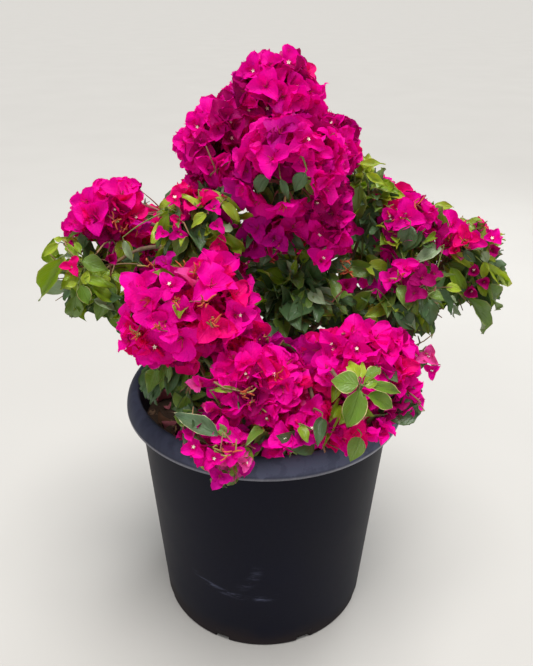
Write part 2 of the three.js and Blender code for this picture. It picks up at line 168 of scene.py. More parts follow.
crownOutline = np.array([
    (268, 49), (279, 53), (291, 47), (298, 57), (318, 57), (316, 73), (328, 87), (321, 97), (324, 109),
    (348, 116), (361, 121), (358, 137), (353, 146), (367, 150), (383, 159), (392, 178), (399, 192),
    (411, 187), (426, 196), (432, 207), (452, 204), (458, 214), (470, 216), (488, 219), (492, 230),
    (505, 232), (506, 244), (497, 262), (518, 284), (519, 292), (502, 292), (501, 322), (496, 338),
    (481, 312), (463, 305), (459, 318), (451, 304), (438, 312), (436, 338), (443, 358), (439, 376),
    (420, 380), (425, 402), (431, 413), (413, 429), (399, 424), (390, 435), (372, 446), (360, 444),
    (351, 461), (340, 450), (322, 448), (300, 445), (297, 458), (270, 452), (256, 455), (255, 474),
    (240, 478), (223, 491), (211, 491), (208, 474), (194, 464), (181, 450), (182, 441), (172, 428),
    (150, 418), (141, 400), (137, 372), (122, 361), (116, 345), (120, 331), (104, 322), (88, 317),
    (74, 322), (63, 312), (60, 300), (60, 285), (37, 299), (36, 284), (48, 262), (41, 254), (50, 238),
    (60, 231), (61, 220), (69, 214), (70, 200), (75, 190), (90, 189), (102, 181), (118, 177), (140, 182),
    (141, 197), (147, 204), (152, 218), (153, 230), (158, 218), (158, 206), (168, 193), (177, 185),
    (185, 178), (186, 168), (182, 158), (169, 149), (172, 131), (184, 127), (190, 116), (199, 103),
    (205, 94), (228, 91), (232, 80), (238, 68), (252, 55),
], float)

# places in the photo, each with a middle and half its width and height

bareSpots = [  # nothing grows before or behind
    (90, 246, 9, 5), (60, 247, 4, 3), (68, 279, 7, 3), (114, 270, 3, 7), (104, 247, 4, 3), (345, 153, 5, 5),
    (374, 173, 7, 6), (160, 408, 14, 12), (464, 306, 7, 5), (250, 196, 11, 7), (415, 345, 6, 8),
]
openSpots = [  # whatever the shoots leave open stays so
    (434, 348, 14, 32), (62, 246, 12, 9), (92, 247, 15, 8), (112, 268, 6, 12), (68, 279, 9, 5),
]
leafySpots = [  # no flowers
    (92, 283, 34, 34), (362, 212, 11, 38), (368, 262, 16, 16), (455, 290, 42, 30), (385, 312, 42, 15),
    (300, 302, 42, 34), (168, 395, 29, 35), (208, 357, 23, 8), (205, 392, 14, 12), (284, 190, 32, 11),
    (218, 150, 12, 12), (490, 275, 26, 20), (425, 250, 12, 10), (262, 444, 10, 8), (434, 348, 14, 32),
    (106, 318, 15, 24),
]
hollowSpots = [  # of the upper masses only what grows deep inside shows
    (272, 107, 22, 6), (213, 140, 9, 10), (246, 84, 6, 11), (327, 138, 6, 9), (283, 171, 9, 5),
    (313, 172, 6, 6), (206, 172, 7, 9), (240, 118, 5, 9), (284, 82, 5, 8), (262, 146, 6, 6), (309, 148, 5, 8),
]
flowerySpots = [  # no leaves on the near side
    (108, 204, 36, 26), (213, 290, 38, 24), (145, 290, 24, 20), (160, 345, 34, 28), (232, 318, 28, 22),
    (350, 345, 50, 26), (262, 370, 30, 24), (408, 216, 18, 14), (285, 100, 44, 50), (338, 215, 12, 34),
]

# what stands out one by one, in the photo's pixels; a tint is a row of bractTints or leafTints

seenFlowers = {  # middle, width and tint
    "top_blooms": [
        (250, 68, 34, 0), (270, 60, 34, 0), (291, 59, 34, 0), (309, 68, 28, 2), (314, 90, 30, 0),
        (297, 85, 32, 1), (275, 80, 34, 1),
    ],
    "shoulder_left_blooms": [
        (212, 106, 36, 0), (238, 108, 34, 0), (196, 124, 34, 0), (219, 126, 34, 1), (180, 141, 28, 0),
        (202, 148, 30, 4), (192, 166, 26, 1), (195, 182, 22, 0), (232, 136, 28, 4),
    ],
    "upper_front_blooms": [
        (256, 132, 38, 0), (281, 125, 38, 0), (303, 132, 36, 0), (321, 150, 34, 0), (283, 152, 38, 1),
        (258, 156, 36, 1), (307, 164, 34, 1), (243, 171, 30, 3),
    ],
    "shoulder_right_blooms": [(334, 122, 30, 0), (347, 134, 26, 0), (356, 150, 18, 2)],
    "right_column_blooms": [
        (330, 180, 32, 0), (341, 197, 26, 0), (322, 200, 32, 1), (344, 217, 28, 0), (322, 224, 34, 1),
        (309, 212, 30, 3),
    ],
    "inner_blooms": [(256, 226, 34, 3), (296, 224, 34, 1), (276, 238, 30, 3)],
    "inner_leaves": [(322, 258, 30, 0), (347, 245, 20, 2), (349, 286, 16, 4)],
    "left_outer_blooms": [
        (84, 201, 34, 0), (108, 192, 38, 0), (132, 192, 34, 0), (93, 216, 38, 0), (72, 222, 26, 0),
        (116, 208, 30, 4), (137, 214, 32, 2), (142, 228, 26, 1), (98, 232, 28, 4),
    ],
    "left_outer_leaves": [(70, 264, 20, 2), (112, 258, 14, 4)],
    "left_middle_leaves": [
        (173, 195, 20, 2), (176, 218, 18, 2), (177, 233, 18, 1), (215, 205, 19, 0), (219, 224, 18, 1),
        (159, 232, 18, 0), (220, 246, 22, 2), (234, 191, 20, 2),
    ],
    "left_front_blooms": [
        (137, 286, 42, 0), (163, 258, 26, 3), (170, 284, 30, 0), (213, 282, 50, 0), (238, 292, 34, 2),
        (238, 316, 40, 0), (213, 326, 42, 2), (163, 322, 42, 0), (156, 350, 46, 0), (138, 334, 28, 2),
        (184, 312, 30, 1),
    ],
    "right_upper_blooms": [
        (379, 200, 22, 2), (394, 203, 18, 2), (411, 198, 24, 0), (408, 216, 34, 0), (391, 217, 26, 1),
        (391, 234, 26, 4), (429, 219, 20, 1),
    ],
    "right_outer_leaves": [
        (450, 223, 34, 0), (465, 236, 26, 2), (478, 241, 20, 1), (495, 236, 20, 0), (495, 250, 12, 4),
        (455, 249, 12, 2), (474, 271, 14, 4), (471, 292, 15, 4), (485, 283, 12, 4),
    ],
    "right_sprig_leaves": [(352, 231, 18, 0), (367, 290, 13, 4)],
    "right_lower_leaves": [
        (388, 277, 26, 1), (405, 265, 28, 0), (423, 276, 26, 4), (415, 291, 26, 4), (438, 270, 18, 4),
    ],
    "front_left_blooms": [
        (250, 348, 26, 0), (254, 365, 44, 0), (228, 374, 40, 0), (271, 374, 36, 2), (266, 396, 26, 0),
        (291, 380, 32, 1), (232, 400, 26, 0), (289, 400, 32, 1), (270, 418, 28, 1), (195, 383, 16, 5),
        (209, 407, 15, 5),
    ],
    "front_drop_blooms": [
        (231, 411, 38, 0), (245, 406, 24, 2), (242, 434, 20, 1), (192, 449, 26, 0), (212, 459, 26, 1),
        (233, 454, 26, 1), (219, 479, 30, 3), (249, 465, 20, 5), (178, 434, 16, 4),
    ],
    "front_right_blooms": [
        (353, 328, 42, 0), (378, 334, 38, 0), (333, 346, 38, 0), (308, 352, 34, 0), (318, 370, 36, 0),
        (305, 376, 32, 0), (357, 350, 36, 1), (390, 350, 36, 0), (404, 368, 32, 2), (384, 372, 32, 0),
        (325, 388, 26, 2), (411, 408, 38, 0), (415, 390, 24, 0), (401, 386, 28, 1),
    ],
    "front_low_blooms": [
        (311, 402, 32, 1), (297, 420, 30, 1), (282, 436, 36, 0), (358, 434, 30, 2), (335, 426, 24, 4),
        (380, 420, 26, 4), (301, 438, 24, 3),
    ],
    "side_sprig_blooms": [(428, 356, 22, 5), (431, 371, 22, 0)],
    "front_shoot_leaves": [(325, 362, 28, 0)],
}
seenLeaves = {  # stalk end, tip, width and tint
    "left_outer_leaves": [
        (63, 259, 35, 303, 15, 2), (58, 244, 42, 256, 8, 3), (82, 228, 65, 238, 5, 1),
        (66, 247, 80, 259, 9, 2), (81, 253, 74, 242, 8, 2), (82, 261, 109, 269, 16, 1),
        (84, 279, 115, 287, 11, 2), (92, 287, 118, 302, 12, 2), (80, 286, 89, 305, 12, 5),
        (84, 284, 88, 270, 8, 3), (77, 283, 64, 286, 6, 3), (76, 296, 72, 323, 18, 1),
        (70, 291, 62, 301, 7, 0), (94, 300, 118, 309, 11, 4), (62, 240, 53, 238, 5, 3),
    ],
    "left_middle_leaves": [
        (171, 199, 158, 208, 8, 3), (168, 214, 160, 246, 13, 2), (204, 192, 239, 208, 12, 3),
        (206, 214, 190, 226, 9, 3), (212, 230, 245, 252, 14, 2), (182, 196, 202, 206, 9, 3),
        (222, 202, 240, 222, 10, 3), (124, 241, 133, 262, 8, 4),
    ],
    "right_sprig_leaves": [
        (352, 164, 336, 177, 9, 3), (360, 186, 357, 224, 17, 1), (370, 219, 374, 252, 19, 0),
        (358, 164, 384, 161, 7, 3), (366, 174, 388, 186, 8, 3), (366, 256, 384, 272, 12, 2),
        (360, 262, 350, 280, 12, 2),
    ],
    "right_upper_blooms": [
        (378, 184, 402, 194, 11, 2), (410, 226, 405, 250, 18, 0), (422, 232, 400, 252, 14, 0),
        (440, 235, 424, 241, 7, 2),
    ],
    "right_outer_leaves": [
        (434, 205, 439, 229, 13, 5), (434, 206, 454, 205, 8, 3), (467, 221, 487, 237, 18, 2),
        (448, 251, 478, 268, 10, 3), (463, 251, 477, 262, 9, 0), (486, 246, 504, 243, 6, 2),
        (484, 264, 515, 292, 11, 3), (485, 261, 484, 281, 9, 3), (450, 268, 467, 299, 15, 2),
        (484, 285, 500, 310, 14, 1), (470, 299, 495, 338, 18, 1), (450, 288, 430, 306, 13, 5),
        (452, 304, 458, 321, 7, 4), (482, 252, 489, 263, 8, 4),
    ],
    "right_lower_leaves": [
        (440, 247, 414, 262, 12, 4), (398, 286, 418, 315, 16, 1), (392, 306, 420, 330, 19, 0),
        (372, 292, 350, 312, 15, 1), (428, 300, 432, 326, 16, 0),
    ],
    "front_drop_blooms": [
        (218, 434, 174, 413, 17, 6), (214, 426, 238, 440, 10, 1), (262, 428, 246, 444, 12, 1),
    ],
    "front_low_blooms": [
        (338, 404, 328, 438, 10, 2), (360, 438, 350, 461, 18, 1), (300, 426, 308, 442, 10, 2),
        (322, 418, 318, 446, 15, 0),
    ],
    "upper_front_blooms": [
        (268, 176, 256, 193, 15, 0), (305, 173, 294, 192, 16, 0), (281, 179, 288, 200, 9, 0),
        (306, 180, 316, 196, 10, 1),
    ],
    "inner_blooms": [
        (290, 198, 282, 221, 18, 0), (302, 194, 305, 214, 13, 0), (266, 196, 256, 208, 11, 0),
        (278, 200, 268, 214, 12, 0),
    ],
    "front_left_blooms": [(214, 390, 240, 388, 7, 2)],
    "front_shoot_leaves": [
        (358, 384, 331, 379, 24, 5), (359, 390, 347, 429, 27, 5), (367, 386, 405, 391, 12, 5),
        (368, 380, 381, 362, 15, 5), (358, 377, 347, 359, 14, 3), (368, 396, 396, 407, 17, 5),
        (362, 378, 362, 360, 9, 3), (364, 384, 378, 380, 12, 2),
    ],
}
seenTwigs = {  # the way of a bare twig
    "left_outer_leaves": [
        ((97, 253), (104, 244), (113, 239), (123, 241), (131, 248)), ((112, 239), (118, 247), (128, 251)),
        ((64, 240), (68, 250), (80, 262)),
    ],
    "shoulder_left_blooms": [
        ((206, 188), (211, 174), (222, 166), (232, 160)), ((226, 186), (216, 170), (210, 156), (206, 146)),
    ],
    "left_middle_leaves": [((174, 216), (184, 223), (189, 234)), ((226, 198), (217, 208), (210, 210))],
    "side_sprig_blooms": [
        ((403, 352), (414, 346), (424, 341), (433, 334)), ((410, 348), (421, 352), (428, 354)),
        ((420, 343), (418, 336)),
    ],
    "front_left_blooms": [((214, 382), (224, 388), (240, 391))],
    "right_outer_leaves": [((452, 286), (462, 296), (470, 304))],
}
seenTubes = {  # middle of a bundle of dry tubes
    "left_front_blooms": [(175, 300), (205, 302), (213, 325), (160, 330), (137, 333), (151, 262)],
    "front_left_blooms": [(245, 394), (252, 402)],
    "front_drop_blooms": [(234, 446), (220, 452)],
    "right_upper_blooms": [(415, 204), (386, 206)],
    "right_outer_leaves": [(447, 237), (462, 242), (470, 283)],
    "right_lower_leaves": [(436, 286), (400, 278)],
    "left_outer_blooms": [(116, 222), (122, 230)],
    "inner_leaves": [(343, 262), (348, 272)],
}
nearSide = 0.06  # in y, how far back the flowery spots hold


def inOutline(pixels):
    x, y = pixels[:, :1], pixels[:, 1:]
    ax, ay = crownOutline.T
    bx, by = np.roll(crownOutline, -1, 0).T
    crosses = (ay > y) != (by > y)
    return (crosses & (x < ax + (y - ay) / np.where(by == ay, 1e-9, by - ay) * (bx - ax))).sum(1) % 2 == 1


def inSpots(pixels, spots):
    return any((((pixels - spot[:2]) / spot[2:]) ** 2).sum(1).min() < 1 for spot in np.array(spots, float))


def shows(places, flowers):
    # whether the photo has flowers, or leaves, at every one of these places
    pixels = toPixel(places)
    others = leafySpots if flowers else flowerySpots if places[:, 1].mean() < nearSide else []
    return inOutline(pixels).all() and not inSpots(pixels, bareSpots) and not inSpots(pixels, others)


# shader building

class Signal:
    # a socket that takes part in arithmetic
    def __init__(self, finish, socket):
        self.finish, self.socket = finish, socket

    def __add__(self, other):
        return self.finish.maths("ADD", self, other)

    def __sub__(self, other):
        return self.finish.maths("SUBTRACT", self, other)

    def __rsub__(self, other):
        return self.finish.maths("SUBTRACT", other, self)

    def __mul__(self, other):
        return self.finish.maths("MULTIPLY", self, other)

    __radd__, __rmul__ = __add__, __mul__


class Finish:
    # one material and the nodes it is made of
    def __init__(self, name):
        self.material = bpy.data.materials.new(name)
        self.material.use_nodes = True
        self.tree = self.material.node_tree
        self.tree.nodes.clear()

    def add(self, kind, settings=None, values=None, out=0):
        node = self.tree.nodes.new(kind)
        for key, value in (settings or {}).items():
            setattr(node, key, value)
        for key, value in (values or {}).items():
            if isinstance(value, Signal):
                self.tree.links.new(value.socket, node.inputs[key])
            else:
                node.inputs[key].default_value = value
        return Signal(self, node.outputs[out])

    def maths(self, operation, first, second=None):
        values = {0: first} if second is None else {0: first, 1: second}
        return self.add("ShaderNodeMath", {"operation": operation}, values)

    def limit(self, value):
        return self.add("ShaderNodeClamp", None, {0: value})

    def band(self, value, low, high):
        # rises smoothly from 0 at low to 1 at high
        settings = {"interpolation_type": "SMOOTHSTEP"}
        return self.add("ShaderNodeMapRange", settings, {0: value, 1: low, 2: high, 3: 0.0, 4: 1.0})

    def mix(self, mask, first, second):
        return self.add("ShaderNodeMix", {"data_type": "RGBA"}, {0: mask, 6: first, 7: second}, 2)

    def coordinates(self, which="Object"):
        return self.add("ShaderNodeTexCoord", out=which)

    def stretched(self, vector, scale):
        return self.add("ShaderNodeMapping", None, {"Vector": vector, "Scale": scale})

    def axes(self, vector):
        node = self.add("ShaderNodeSeparateXYZ", None, {0: vector}).socket.node
        return [Signal(self, node.outputs[k]) for k in range(3)]

    def noise(self, vector, scale, detail=4.0, roughness=0.55, distortion=0.0):
        values = {
            "Vector": vector, "Scale": scale, "Detail": detail,
            "Roughness": roughness, "Distortion": distortion,
        }
        return self.add("ShaderNodeTexNoise", None, values, "Fac")

    def bump(self, height, strength, distance):
        values = {"Height": height, "Strength": strength, "Distance": distance}
        return self.add("ShaderNodeBump", None, values)

    def principled(self, **values):
        named = {key.replace("_", " "): value for key, value in values.items()}
        return self.add("ShaderNodeBsdfPrincipled", None, named)

    def done(self, shader):
        node = self.tree.nodes.new("ShaderNodeOutputMaterial")
        self.tree.links.new(shader.socket, node.inputs["Surface"])
        return self.material


# how a thin blade takes the light: the share that comes through, pairs of side veins, how far they
# lean forward, and the depth of their relief
bractLook = dict(roughness=0.55, specular=0.1, through=0.34, pairs=7.0, lean=0.35, depth=0.0012)
leafLook = dict(roughness=0.36, specular=0.5, through=0.22, pairs=6.0, lean=0.5, depth=0.0012)
edgeLook = dict(leafLook, roughness=0.5, specular=0.28, through=0.25, depth=0.0008)
litterLook = dict(bractLook, roughness=0.8, through=0.15)
veins = dict(midrib=(0.02, 0.10), side=(0.03, 0.16), sideDepth=0.45, fine=190.0, fineDepth=1.1, strength=0.55)


def bladeFinish(name, colour, glow, look):
    finish = Finish(name)
    u, v, _ = finish.axes(finish.coordinates("UV"))
    across = finish.maths("ABSOLUTE", u - 0.5) * 2
    midrib = 1 - finish.band(across, *veins["midrib"])
    phase = finish.maths("FRACT", (v - across * look["lean"]) * look["pairs"])
    vein = 1 - finish.band(finish.maths("ABSOLUTE", phase - 0.5), *veins["side"])
    crease = finish.noise(finish.coordinates(), veins["fine"], 3.0)
    height = midrib + vein * veins["sideDepth"] + crease * veins["fineDepth"]
    normal = finish.bump(height, veins["strength"], look["depth"])
    sheet = finish.principled(
        Base_Color=colour, Roughness=look["roughness"], Specular_IOR_Level=look["specular"], Normal=normal,
    )
    lit = finish.add("ShaderNodeBsdfTranslucent", None, {"Color": glow, "Normal": normal})
    return finish.done(finish.add("ShaderNodeMixShader", None, {0: look["through"], 1: sheet, 2: lit}))


def plainFinish(name, colour, roughness):
    # small waxy things: tubes, stars, twigs, with a fine grain in relief
    finish = Finish(name)
    normal = finish.bump(finish.noise(finish.coordinates(), 900.0, 2.0), 0.3, 0.0004)
    return finish.done(finish.principled(
        Base_Color=colour, Roughness=roughness, Specular_IOR_Level=0.3, Normal=normal,
    ))


# meshes

def meshPiece(name, points, faces, finishes, uv=None, slots=None):
    # faces is an array with three or four corners to a row
    count, corners = faces.shape
    mesh = bpy.data.meshes.new(name)
    mesh.vertices.add(len(points))
    mesh.vertices.foreach_set("co", np.ascontiguousarray(points, np.float32).ravel())
    mesh.loops.add(count * corners)
    mesh.loops.foreach_set("vertex_index", np.ascontiguousarray(faces, np.int32).ravel())
    mesh.polygons.add(count)
    mesh.polygons.foreach_set("loop_start", np.arange(count, dtype=np.int32) * corners)
    mesh.polygons.foreach_set("use_smooth", np.ones(count, bool))
    for finish in finishes:
        mesh.materials.append(finish)
    if slots is not None:
        mesh.polygons.foreach_set("material_index", np.ascontiguousarray(slots, np.int32))
    if uv is not None:
        layer = mesh.uv_layers.new(name="blade")
        layer.data.foreach_set("uv", np.ascontiguousarray(uv[faces.ravel()], np.float32).ravel())
    mesh.update()
    mesh.validate()
    piece = bpy.data.objects.new(name, mesh)
    scene.collection.objects.link(piece)
    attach(piece, "root")
    return piece


class Sheaf:
    # many copies of a few like shapes, joined into as few pieces as the face limit lets
    def __init__(self, shapes, faces, uv, edge=None):
        self.shapes, self.faces, self.uv, self.edge = shapes, faces, uv, edge
        self.rows, self.masses = [], []

    def add(self, at, side, along, normal, width, length, shape, tint, mass=None):
        axes = np.stack((side * width, along * length, normal * length))
        self.rows.append((at, axes, shape % len(self.shapes), tint))
        self.masses.append(mass)

    def join(self, name, finishes, slot):
        wide, perCopy = self.faces.shape[1], self.shapes.shape[1]
        each = len(self.faces) * (wide - 2)
        share = max(1, math.ceil(len(self.rows) * each / faceLimit))
        size = math.ceil(len(self.rows) / share)
        for k in range(share):
            part = slice(k * size, (k + 1) * size)
            at, axes, shapes, tints = (np.array(column) for column in zip(*self.rows[part]))
            points = np.einsum("npk,nkj->npj", self.shapes[shapes], axes) + at[:, None]
            faces = self.faces[None] + (np.arange(len(at)) * perCopy)[:, None, None]
            slots = np.repeat(tints[:, None], len(self.faces), 1)
            if self.edge is not None:
                slots = 2 * slots + self.edge[None]
            title = name if share == 1 else f"{name}_{k + 1}"
            piece = meshPiece(
                title, points.reshape(-1, 3), faces.reshape(-1, wide), finishes,
                np.tile(self.uv, (len(at), 1)), slots.ravel(),
            )
            masses = sorted({m for m in self.masses[part] if m})
            if masses:
                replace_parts(piece, *masses)
            print(title, len(at), "copies,", len(at) * each, "triangles")


def ringFaces(rings, sides):
    # four-cornered faces between rings of points, each ring to the next
    near, k = np.arange(rings - 1)[:, None] * sides, np.arange(sides)
    after = (k + 1) % sides
    return np.stack((near + k, near + after, near + sides + after, near + sides + k), -1).reshape(-1, 4)


def ringWays(path):
    # two directions square to a path at each of its points, turning no more than it does
    along = np.gradient(path, axis=0)
    along /= np.linalg.norm(along, axis=1)[:, None] + 1e-12
    side, _ = squareTo(along[0], vec(0.6, 0.1, 0.8))
    ways = []
    for way in along:
        side, third = squareTo(way, side)
        ways.append((side, third))
    return ways


class Canes:
    # many tapering tubes, joined
    def __init__(self, sides):
        self.turn = np.arange(sides) * math.tau / sides
        self.points, self.faces, self.uv, self.slots = [], [], [], []
        self.count, self.masses = 0, set()

    def add(self, path, radii, slot, mass):
        rings, sides = len(path), len(self.turn)
        for i, (side, third) in enumerate(ringWays(path)):
            ring = np.cos(self.turn)[:, None] * side + np.sin(self.turn)[:, None] * third
            self.points.append(path[i] + radii[i] * ring)
            self.uv.append(np.stack((self.turn / math.pi / 2, np.full(sides, i / rings)), 1))
        self.faces.append(self.count + ringFaces(rings, sides))
        self.slots.append(np.full((rings - 1) * sides, slot))
        self.count += rings * sides
        self.masses.add(mass)

    def join(self, name, finishes, slot):
        joined = [np.concatenate(part) for part in (self.points, self.faces, self.uv, self.slots)]
        points, faces, uv, slots = joined
        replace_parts(meshPiece(name, points, faces, finishes, uv, slots), *sorted(self.masses))
        print(name, len(faces) * 2, "triangles")


# blades

bractShape = dict(
    rows=(0, 0.07, 0.2, 0.36, 0.52, 0.68, 0.82, 0.93, 1), columns=(-1, -0.62, -0.2, 0.2, 0.62, 1),
    widths=(0.34, 0.74, 0.95, 1.0, 0.98, 0.88, 0.69, 0.42, 0.08),
    dish=0.4, dishes=(0.3, 1.5), power=2, curl=0.3, wave=0.12, crumple=0.03, kinds=24,
)
leafShape = dict(
    rows=(0, 0.07, 0.18, 0.32, 0.46, 0.6, 0.75, 0.89, 1), columns=(-1, -0.94, -0.45, 0, 0.45, 0.94, 1),
    widths=(0.14, 0.54, 0.85, 0.99, 0.98, 0.86, 0.6, 0.27, 0.02),
    dish=0.15, dishes=(0.4, 1.5), power=1.3, curl=0.24, wave=0.07, crumple=0.014, kinds=14,
)
bends = dict(  # how the copies of a blade differ
    skew=0.07, turns=(0.8, 1.7), ripple=(9, 17), fineRipple=(22, 34), ruffle=0.35, otherSide=-0.8,
    frayed=0.7, fray=0.6, curls=(0.1, 1.3), waves=(0.5, 1.6),
)
anyAngle = (0, 6.28)


def bladeShapes(shape, seed):
    # like blades, each bent and crumpled its own way, a unit long and two units wide
    random = np.random.default_rng(seed)
    v, u = np.meshgrid(np.array(shape["rows"]), np.array(shape["columns"]), indexing="ij")
    widths, high, wide = np.array(shape["widths"])[:, None], len(shape["rows"]), len(shape["columns"])
    made = []
    for _ in range(shape["kinds"]):
        phase, turns = random.uniform(*anyAngle), random.uniform(*bends["turns"])
        x = u * widths + random.normal(0, bends["skew"]) * np.sin(v * math.pi)
        ruffle = np.sin(v * random.uniform(*bends["ripple"]) + random.uniform(*anyAngle))
        ruffle = ruffle + np.sin(v * random.uniform(*bends["fineRipple"]) + phase)
        y = v + random.normal(0, shape["crumple"] * bends["fray"], v.shape) * (np.abs(u) > bends["frayed"])
        z = shape["dish"] * random.uniform(*shape["dishes"]) * np.abs(u) ** shape["power"] * widths
        z = z - shape["curl"] * random.uniform(*bends["curls"]) * v ** 2
        z = z + shape["wave"] * random.uniform(*bends["waves"]) * u * np.sin(turns * 6.28 * v + phase)
        side = np.where(u > 0, 1, bends["otherSide"])
        z = z + shape["wave"] * bends["ruffle"] * np.abs(u) ** 3 * ruffle * side
        z = z + random.normal(0, shape["crumple"], v.shape)
        made.append(np.stack((x, y, z), -1).reshape(-1, 3))
    r, c = np.meshgrid(np.arange(high - 1), np.arange(wide - 1), indexing="ij")
    a, edge = (r * wide + c).ravel(), ((c == 0) | (c == wide - 2)).ravel().astype(int)
    uv = np.stack((u / 2 + 0.5, v), -1).reshape(-1, 2)
    return np.array(made), np.stack((a, a + 1, a + wide + 1, a + wide), 1), uv, edge


starSize = dict(notch=0.42, rim=0.12, depth=0.25)


def starShape():
    # the cream star at the mouth of a flower's tube
    points, faces = [(0, 0, -starSize["depth"])], []
    for k in range(10):
        out, rise = (starSize["notch"], 0) if k % 2 else (1, starSize["rim"])
        angle = k * math.pi / 5
        points.append((out * math.cos(angle), out * math.sin(angle), rise))
        faces.append((0, 1 + k, 1 + (k + 1) % 10))
    points = np.array(points, float)
    return points[None], np.array(faces), points[:, :2] * 0.5 + 0.5


# the crown, as in the part's source, millimetres: middle, reach, limb it grows from and how far
# along, arch, shoots, share of them that flower (the two left masses of leaves have fewer of them
# than the source, and the outer and lower right ones fewer that flower, as in the photo); then here
# alone: how much of its leafage is young, and which row of the blooming table it follows

crown = [
    ("top_blooms", (13, 30, 853), (75, 72, 66), "trunk", 1, 0.05, 34, 1, "dense", 0.1, "upper"),
    ("shoulder_left_blooms", (-78, -8, 797), (62, 66, 68), "top_blooms",
     0.55, 0.2, 30, 1, "dense", 0.1, "upper"),
    ("upper_front_blooms", (30, -84, 782), (73, 58, 66), "top_blooms",
     0.45, 0.25, 32, 1, "dense", 0.1, "upper"),
    ("shoulder_right_blooms", (96, 0, 800), (46, 54, 50), "top_blooms",
     0.7, 0.25, 34, 1, "dense", 0.2, "upper"),
    ("back_top_blooms", (6, 108, 760), (88, 62, 74), "top_blooms", 0.5, 0.3, 20, 1, "dense", 0.2, "upper"),
    ("right_column_blooms", (86, -52, 715), (40, 48, 64), "top_blooms",
     0.3, 0.3, 34, 1, "dense", 0.3, "upper"),
    ("inner_blooms", (0, -62, 680), (56, 44, 42), "top_blooms", 0.25, 0.2, 28, 1, "", 0.0, "shade"),
    ("left_outer_blooms", (-239, 30, 688), (69, 56, 50), "trunk", 0.75, 0.5, 40, 1, "dense", 0.5, "side"),
    ("left_outer_leaves", (-266, -20, 594), (78, 66, 72), "left_outer_blooms",
     0.62, 0.55, 12, 0.12, "", 0.9, "side"),
    ("left_middle_leaves", (-90, -66, 694), (76, 56, 62), "left_outer_blooms",
     0.3, 0.2, 24, 0.25, "", 0.5, "side"),
    ("left_front_blooms", (-97, -168, 615), (94, 60, 72), "trunk", 0.85, 0.5, 36, 1, "dense", 0.2, "large"),
    ("left_low_leaves", (-150, -98, 502), (66, 60, 64), "left_front_blooms",
     0.4, 0.7, 24, 0, "", 0.1, "shade"),
    ("inner_leaves", (40, -45, 585), (104, 88, 92), "trunk", 0.96, 0.1, 32, 0, "", 0.1, "shade"),
    ("right_outer_leaves", (309, 30, 607), (74, 70, 96), "trunk", 0.7, 0.45, 30, 0.4, "", 0.8, "right"),
    ("right_sprig_leaves", (152, 0, 722), (46, 46, 76), "right_outer_leaves",
     0.35, 0.1, 26, 0.1, "", 0.5, "side"),
    ("right_upper_blooms", (198, -22, 684), (56, 48, 54), "right_outer_leaves",
     0.5, 0.15, 34, 0.75, "dense", 0.4, "right"),
    ("right_lower_leaves", (206, -62, 587), (76, 60, 66), "right_outer_leaves",
     0.4, 0.4, 34, 0.35, "", 0.45, "right"),
    ("front_left_blooms", (-22, -190, 516), (96, 64, 68), "trunk",
     0.55, 0.75, 44, 0.85, "dense", 0.2, "front"),
    ("front_drop_blooms", (-56, -256, 456), (62, 46, 58), "front_left_blooms",
     0.6, 0.95, 32, 0.8, "dense", 0.3, "drop"),
    ("front_right_blooms", (132, -168, 536), (92, 62, 72), "trunk",
     0.65, 0.65, 34, 0.95, "dense", 0.2, "front"),
    ("front_low_blooms", (76, -238, 462), (86, 54, 56), "front_right_blooms",
     0.55, 0.95, 38, 0.8, "dense", 0.2, "front"),
    ("front_shoot_leaves", (113, -262, 534), (66, 38, 66), "front_right_blooms",
     0.8, 0.2, 7, 0, "whorl", 0.3, "front"),
    ("side_sprig_blooms", (238, -104, 508), (42, 38, 38), "front_right_blooms",
     0.45, 0.5, 8, 0.7, "sprig", 0.5, "side"),
    ("back_left_blooms", (-168, 126, 655), (92, 80, 74), "trunk", 0.9, 0.45, 22, 0.9, "dense", 0.3, "back"),
    ("back_right_blooms", (168, 146, 640), (92, 80, 78), "trunk", 0.8, 0.45, 22, 0.8, "dense", 0.3, "back"),
    ("back_low_blooms", (20, 206, 540), (112, 74, 76), "trunk", 0.6, 0.65, 22, 0.6, "", 0.3, "front"),
    ("low_right_leaves", (158, 66, 510), (76, 72, 64), "back_right_blooms",
     0.4, 0.7, 17, 0.1, "", 0.2, "back"),
    ("back_side_leaves", (-196, 120, 508), (72, 70, 66), "back_left_blooms",
     0.45, 0.7, 16, 0.25, "", 0.4, "back"),
]
growth = dict(
    fullness=1.1, farthest=1.15,  # reach against the source's, and the share of it that nothing passes
    overhang=1.02, border=0.06, upperBorder=0.2,  # share of the reach and give where two masses meet
    hollow=0.55, least=0.34,  # share of the reach that shows in hollows, and that a shoot needs free
    entry=0.82, stemEnd=0.2, clearance=0.00035, rise=0.12,
)
blooming = {  # shoots against the source's, room between hearts, size, size of those seen, tint shares
    "upper": (2.6, 0.0140, 0.64, 0.84, (0.34, 0.36, 0.03, 0.08, 0.18, 0.01)),
    "side": (1.5, 0.0170, 0.74, 0.95, (0.44, 0.25, 0.16, 0.06, 0.08, 0.01)),
    "back": (2.3, 0.0170, 0.74, 0.95, (0.40, 0.26, 0.16, 0.06, 0.11, 0.01)),
    "right": (1.35, 0.0180, 0.68, 0.95, (0.20, 0.28, 0.30, 0.04, 0.16, 0.02)),
    "large": (2.0, 0.0280, 0.84, 1.04, (0.40, 0.24, 0.18, 0.04, 0.13, 0.01)),
    "front": (2.5, 0.0155, 0.72, 1.00, (0.36, 0.27, 0.16, 0.04, 0.16, 0.01)),
    "drop": (1.3, 0.0200, 0.64, 0.92, (0.16, 0.34, 0.14, 0.16, 0.16, 0.04)),
    "shade": (1.4, 0.0200, 0.80, 1.00, (0.05, 0.30, 0.05, 0.38, 0.22, 0.00)),
}


